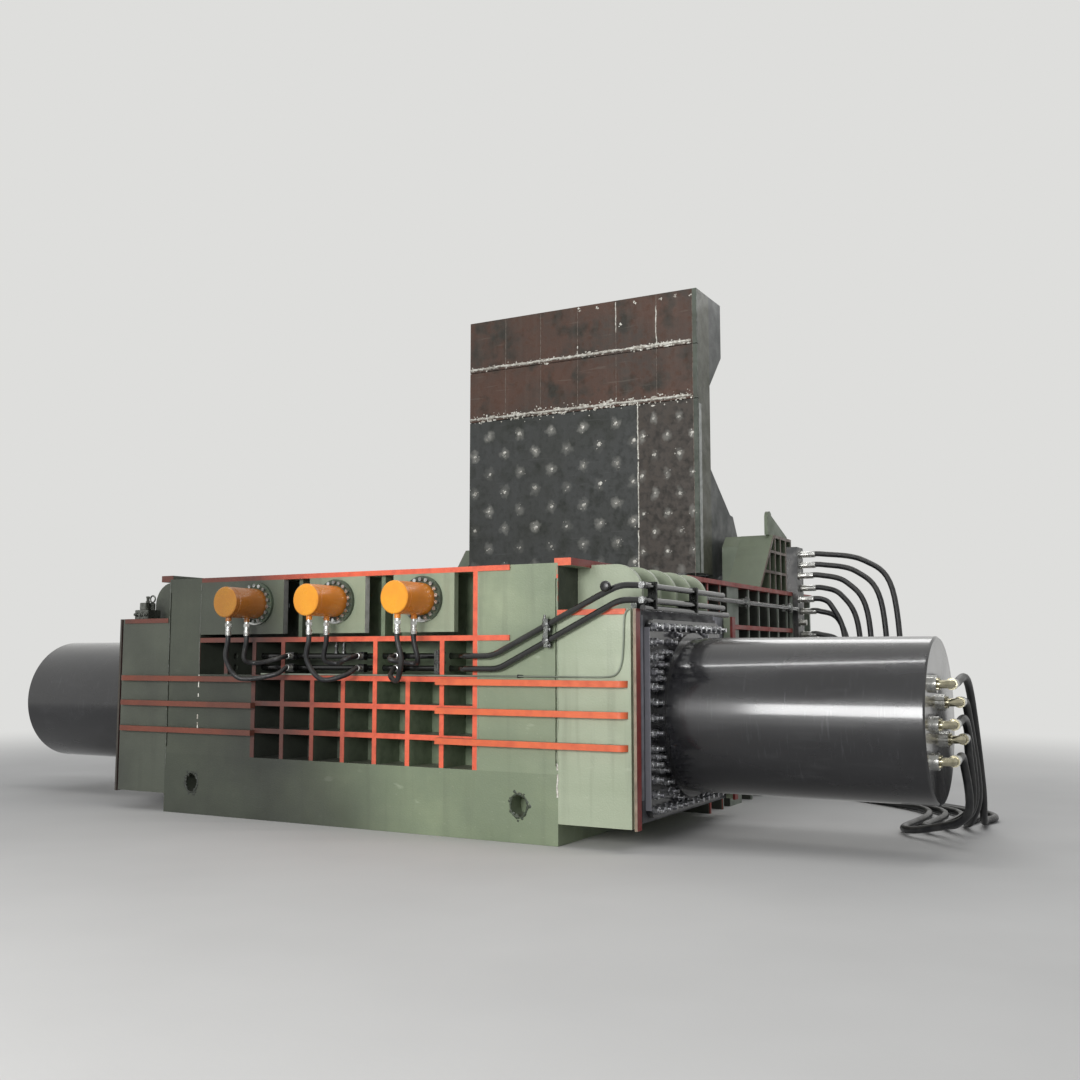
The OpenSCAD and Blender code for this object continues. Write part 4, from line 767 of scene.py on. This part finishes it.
# Plug welds: staggered columns of filled holes that hold the liner to the lid, each a lumpy pool of weld metal
# with drops of spatter round it.
rng = random.Random(7)
mesh = bmesh.new()
for columns, (first_x, pitch_x, first_z, pitch_z) in ((11, left_plugs), (5, right_plugs)):
    for column in range(columns):
        for row in range(-1, 5):
            x = first_x + pitch_x * column + rng.uniform(-0.012, 0.012)
            z = first_z + (0.5 * pitch_z if column % 2 else 0) - pitch_z * row + rng.uniform(-0.014, 0.014)
            # None under the upper seam, none at the foot, which the rear frame wipes when the lid is closed
            if not 2.42 < z < 4.25:
                continue
            bright = rng.random()
            spatter(mesh, rng, (x, lid_y, z), 0.010 + 0.018 * bright)
            spatter(mesh, rng, (x + 0.012, lid_y - 0.002, z + 0.008), 0.007 + 0.011 * bright)
            for drop in range(int(2 + 4 * bright)):
                spatter(mesh, rng, (x + rng.gauss(0, 0.025), lid_y, z + rng.gauss(0, 0.025)),
                        rng.uniform(0.004, 0.009))
plugs = link_mesh("lid_plug_welds", mesh, weld_metal("ground_weld_metal", "#d3d1c9", "#77736b"), 60)
fasten(plugs, "lid")

# Seams of the body: the runs up the pillars' edges, painted over on the right and bare in places on the left, and
# the torn edge of the lifting holes in the sill, under the enamel.
wall_y = -1.1
mesh = bmesh.new()
upright(mesh, -1.655, wall_y, 0.72, 1.25, 0.014, 53, 0.3)
upright(mesh, 2.046, wall_y, 0.36, 0.62, 0.014, 52, 0.1)
bare_beads = link_mesh("body_bare_beads", mesh, weld)
mesh = bmesh.new()
upright(mesh, 1.337, wall_y, 0.54, 2.08, 0.011, 51, 0.05)
upright(mesh, 2.046, wall_y, 0.6, 2.11, 0.012, 52, 0.04)
upright(mesh, -2.046, wall_y, 0.38, 2.11, 0.012, 54, 0.1)
upright(mesh, -1.655, wall_y, 1.25, 2.08, 0.012, 55, 0.05)
body_beads = link_mesh("body_weld_beads", mesh,
                       sprayed_enamel("enamelled_weld_beads", "#a3ab95", "#7f8973", dark_film=left_shade_share))
mesh = bmesh.new()
hole_z = 0.28
for x in (-1.71, 1.71):
    ring = [(x + 0.076 * math.cos(math.pi * k / 10), wall_y, hole_z + 0.09 * math.sin(math.pi * k / 10))
            for k in range(21)]
    for k, (a, b) in enumerate(zip(ring, ring[1:])):
        bead(mesh, a, b, rng.uniform(0.01, 0.024), 60 + k)
    for drop in range(16):
        angle = rng.uniform(0, 2 * math.pi)
        out = rng.uniform(0.75, 1.15)
        spatter(mesh, rng, (x + 0.08 * out * math.cos(angle), wall_y, hole_z + 0.1 * out * math.sin(angle)),
                rng.uniform(0.008, 0.018))
torn_edges = link_mesh("sill_torn_edges", mesh, sprayed_enamel("torn_edge_enamel", "#66735c", "#262c22",
                                                               dark_film=left_shade_share))
for piece in (bare_beads, body_beads, torn_edges):
    fasten(piece, "frame")


# Pipe fittings: split clamps with hexagon bolts, screwed unions, two gauge nipples, the ball-valve knob and the
# thin signal conduit along the wall. Dulled zinc-plated steel, a painted conduit and a moulded black knob.
def split_clamp(mesh, at, along, radius, length):
    """Adds a split clamp round a pipe: a turned ring, two lugs and their hexagon bolt heads."""
    at, along = Vector(at), Vector(along).normalized()
    out = forward if abs(along.y) < 0.5 else Vector((1, 0, 0))
    up = along.cross(out).normalized()
    turned(mesh, [(-length / 2, radius + 0.002), (-length / 2, radius + 0.009), (-length / 2 + 0.004, radius + 0.011),
                  (length / 2 - 0.004, radius + 0.011), (length / 2, radius + 0.009), (length / 2, radius + 0.002)],
           at, along)
    for s in (-1, 1):
        turned(mesh, [(-0.004, 0.016), (0.004, 0.018), (0.016, 0.018), (0.018, 0.014)],
               at + up * s * (radius + 0.016) - out * 0.004, out, 12)
        turned(mesh, [(0.0, 0.011), (0.012, 0.011), (0.013, 0.009)], at + up * s * (radius + 0.016) + out * 0.014,
               out, 6)


pipe_r = 0.024
slope = math.radians(26)
mesh = bmesh.new()
# Clamps, each with a stub on top, where the two pipes climb towards the end block
for z in (1.655, 1.533):
    split_clamp(mesh, (1.978, -1.14, z), (math.cos(slope), 0, math.sin(slope)), pipe_r, 0.05)
    turned(mesh, [(0, 0.011), (0.012, 0.0105), (0.03, 0.009)], (1.968, -1.16, z + 0.045), (0, 0, 1), 8)
# Unions where the pipes turn onto the end plate, and the clamps along the side wall
for z in (1.942, 1.832):
    turned(mesh, [(0, 0.024), (0, 0.029), (0.018, 0.03), (0.02, 0.026), (0.034, 0.026), (0.036, 0.03),
                  (0.056, 0.029), (0.056, 0.024)], (2.725, -1.06, z), (0, 1, 0), 6)
for y in (2.065, 3.525):
    split_clamp(mesh, (2.475, y, 1.942), (0, 1, 0), pipe_r, 0.07)
# Upright clamp at the middle of the cells: two long bolts and three bars
for x in (0.945, 1.0):
    turned(mesh, [(0, 0.006), (0, 0.012), (0.01, 0.012), (0.012, 0.007), (0.18, 0.007), (0.182, 0.012),
                  (0.192, 0.012), (0.192, 0.006)], (x, -1.085, 1.275), (0, 0, 1), 10)
for z in (1.29, 1.368, 1.445):
    turned(mesh, [(0, 0.008), (0.004, 0.014), (0.084, 0.014), (0.088, 0.008)], (0.93, -1.085, z), (1, 0, 0), 8)
# Gauge nipples on the upper pipe
for x in (-0.155, -0.075):
    turned(mesh, [(0, 0.02), (0.02, 0.02), (0.022, 0.013), (0.05, 0.013), (0.052, 0.018), (0.078, 0.018),
                  (0.08, 0.01), (0.095, 0.01)], (x, -1.0, 1.44), (0, 0, 1), 12)
fittings = link_mesh("pipe_fittings", mesh, zinc_plate("greasy_zinc_fittings", "#808180", "#333433"), 35)
fasten(fittings, "frame")

conduit = tube("signal_conduit", [Vector((x, wall_y - 0.009, z)) for x, z in (
    (-0.9, 1.262), (0.2, 1.2615), (1.2, 1.262), (2.2, 1.2615), (2.46, 1.264), (2.545, 1.29), (2.585, 1.37),
    (2.6, 1.5), (2.606, 1.66), (2.618, 1.735), (2.649, 1.765))], 0.014,
    sprayed_enamel("dulled_conduit_enamel", "#8b9484", "#626a5c"), 10)[0]
fasten(conduit, "frame")


def moulded_phenolic():
    """Black phenolic, compression moulded: hard, dark and evenly glossy, with greasy finger marks."""
    material, shader, place = new_material("moulded_black_phenolic")
    film = patches(place, 30, (0.4, 0.7), 3)
    return surface(material, shader, coat(place, film, "#151515", "#2c2b29", 0.5), film, (0.22, 0.42),
                   [(patches(place, 2, (0.3, 0.7), 1), 0.1)])


# The knob, and a rubber sleeve on the conduit
mesh = bmesh.new()
turned(mesh, [(0, 0.018), (0.012, 0.02), (0.016, 0.034), (0.03, 0.041), (0.05, 0.041), (0.062, 0.033),
              (0.066, 0.02)], (2.503, -1.165, 1.93), forward, 28)
turned(mesh, [(0, 0.015), (0.02, 0.013), (0.05, 0.011)], (1.70, -1.102, 1.262), (1, 0, 0), 12)
knob = link_mesh("valve_knob", mesh, moulded_phenolic(), 35)
fasten(knob, "frame")


# Valve block on the left end block's roof: a small drilled steel manifold in two steps, closed with hexagon plugs
# on top and in front, and with a lifting eye.
mesh = bmesh.new()
block_top, cap_top = 1.858, 1.928
for lows, highs in (((-2.60, -1.02, 1.766), (-2.42, -0.86, block_top)),
                    ((-2.56, -1.0, block_top), (-2.47, -0.88, cap_top))):
    box = bmesh.ops.create_cube(mesh, size=1)["verts"]
    for vert in box:
        vert.co = Vector([a + (b - a) * (c + 0.5) for a, b, c in zip(lows, highs, vert.co)])
    bmesh.ops.bevel(mesh, geom=list({edge for vert in box for edge in vert.link_edges}), offset=0.005, segments=2,
                    affect="EDGES")
for x, top in ((-2.575, block_top), (-2.445, block_top), (-2.515, cap_top)):
    turned(mesh, [(0, 0.02), (0.018, 0.02), (0.02, 0.014), (0.045, 0.014), (0.047, 0.018), (0.062, 0.018),
                  (0.065, 0.012)], (x, -0.94, top - 0.001), (0, 0, 1), 6)
for x in (-2.57, -2.51, -2.45):
    turned(mesh, [(0, 0.022), (0.012, 0.022), (0.014, 0.016), (0.03, 0.015)], (x, -1.019, 1.813), forward, 6)
# Lifting eye, a ring of 16 mm bar
rings = []
for turn in [math.pi * k / 8 for k in range(16)]:
    way = Vector((math.cos(turn), 0, math.sin(turn)))
    rings.append([mesh.verts.new(Vector((-2.45, -0.94, 1.963)) + 0.032 * way + 0.008 * (
        way * math.cos(t) - forward * math.sin(t))) for t in [math.pi * k / 4 for k in range(8)]])
for low_ring, high_ring in zip(rings, rings[1:] + rings[:1]):
    for k in range(8):
        mesh.faces.new((low_ring[k], low_ring[(k + 1) % 8], high_ring[(k + 1) % 8], high_ring[k]))
valve_block = link_mesh("valve_block", mesh, zinc_plate("dull_zinc_valve_steel", "#7c7e79", "#474945"), 35)
fasten(valve_block, "frame")


# Floor and backdrop: a plain pale floor that fades into a pale surround, and three soft studio lamps, in front,
# above and behind.
surround = "#dededc"


def shown_rays(beside):
    """1 for the camera's rays and for those that metal or glass sends on, which all see the pale surround."""
    ray = add_node(beside, "LightPath")
    shown = ray.outputs["Is Camera Ray"]
    for kind in ("Is Glossy Ray", "Is Transmission Ray"):
        shown = add_node(beside, "Math", {"operation": "MAXIMUM"}, {0: shown, 1: ray.outputs[kind]}).outputs[0]
    return shown


def pale_floor():
    """Painted studio floor, matte, that fades into the colour of the surround some metres from the machine."""
    material, shader, place = new_material("pale_floor")
    cloud = patches(place, 1700, (0.3, 0.7), 3)
    surface(material, shader, coat(place, cloud, "#c9c8c5", "#c3c2bf"), cloud, (0.8, 0.9),
            [(patches(place, 40, (0.3, 0.7), 2), 0.2)])
    away = add_node(place, "VectorMath", {"operation": "LENGTH"}, {0: place.outputs["Object"]})
    fade = add_node(place, "MapRange", {"interpolation_type": "SMOOTHSTEP", "From Min": 6, "From Max": 15},
                    {"Value": away.outputs["Value"]})
    share = add_node(place, "Math", {"operation": "MULTIPLY"}, {0: fade.outputs[0], 1: shown_rays(place)})
    glow = add_node(place, "Emission", {"Color": linear(surround), "Strength": 1.0})
    mix = add_node(place, "MixShader", {}, {0: share.outputs[0], 1: shader.outputs[0], 2: glow.outputs[0]})
    material.node_tree.links.new(mix.outputs[0], material.node_tree.nodes["Material Output"].inputs[0])
    return material


mesh = bmesh.new()
bmesh.ops.create_grid(mesh, x_segments=4, y_segments=4, size=60)
floor = link_mesh("floor", mesh, pale_floor())
floor.location.z = -0.001

world = bpy.data.worlds.new("studio")
bpy.context.scene.world = world
world.use_nodes = True
sky = world.node_tree.nodes["World Output"]
seen = add_node(sky, "Background", {"Color": linear(surround), "Strength": 1.0})
light = add_node(sky, "Background", {"Color": linear("#f0f3f9"), "Strength": 0.46})
mix = add_node(sky, "MixShader", {}, {0: shown_rays(sky), 1: light.outputs[0], 2: seen.outputs[0]})
world.node_tree.links.new(mix.outputs[0], sky.inputs[0])

for name, place, aim, size, power in (
        ("front_lamp", (1.9, -13.5, 3.9), (1.2, 0, 1.2), (6.0, 3.4), 1110),
        ("top_lamp", (2.0, -1.0, 10.5), (1.5, 0, 1), (12, 0.4), 230),
        ("back_lamp", (3.0, 9.0, 9.0), (2, 0, 1), (9, 3), 230)):
    data = bpy.data.lights.new(name, "AREA")
    data.shape = "RECTANGLE"
    data.size, data.size_y = size
    data.energy = power
    lamp = bpy.data.objects.new(name, data)
    lamp.location = place
    lamp.rotation_euler = (Vector(aim) - Vector(place)).to_track_quat("-Z", "Y").to_euler()
    bpy.context.scene.collection.objects.link(lamp)
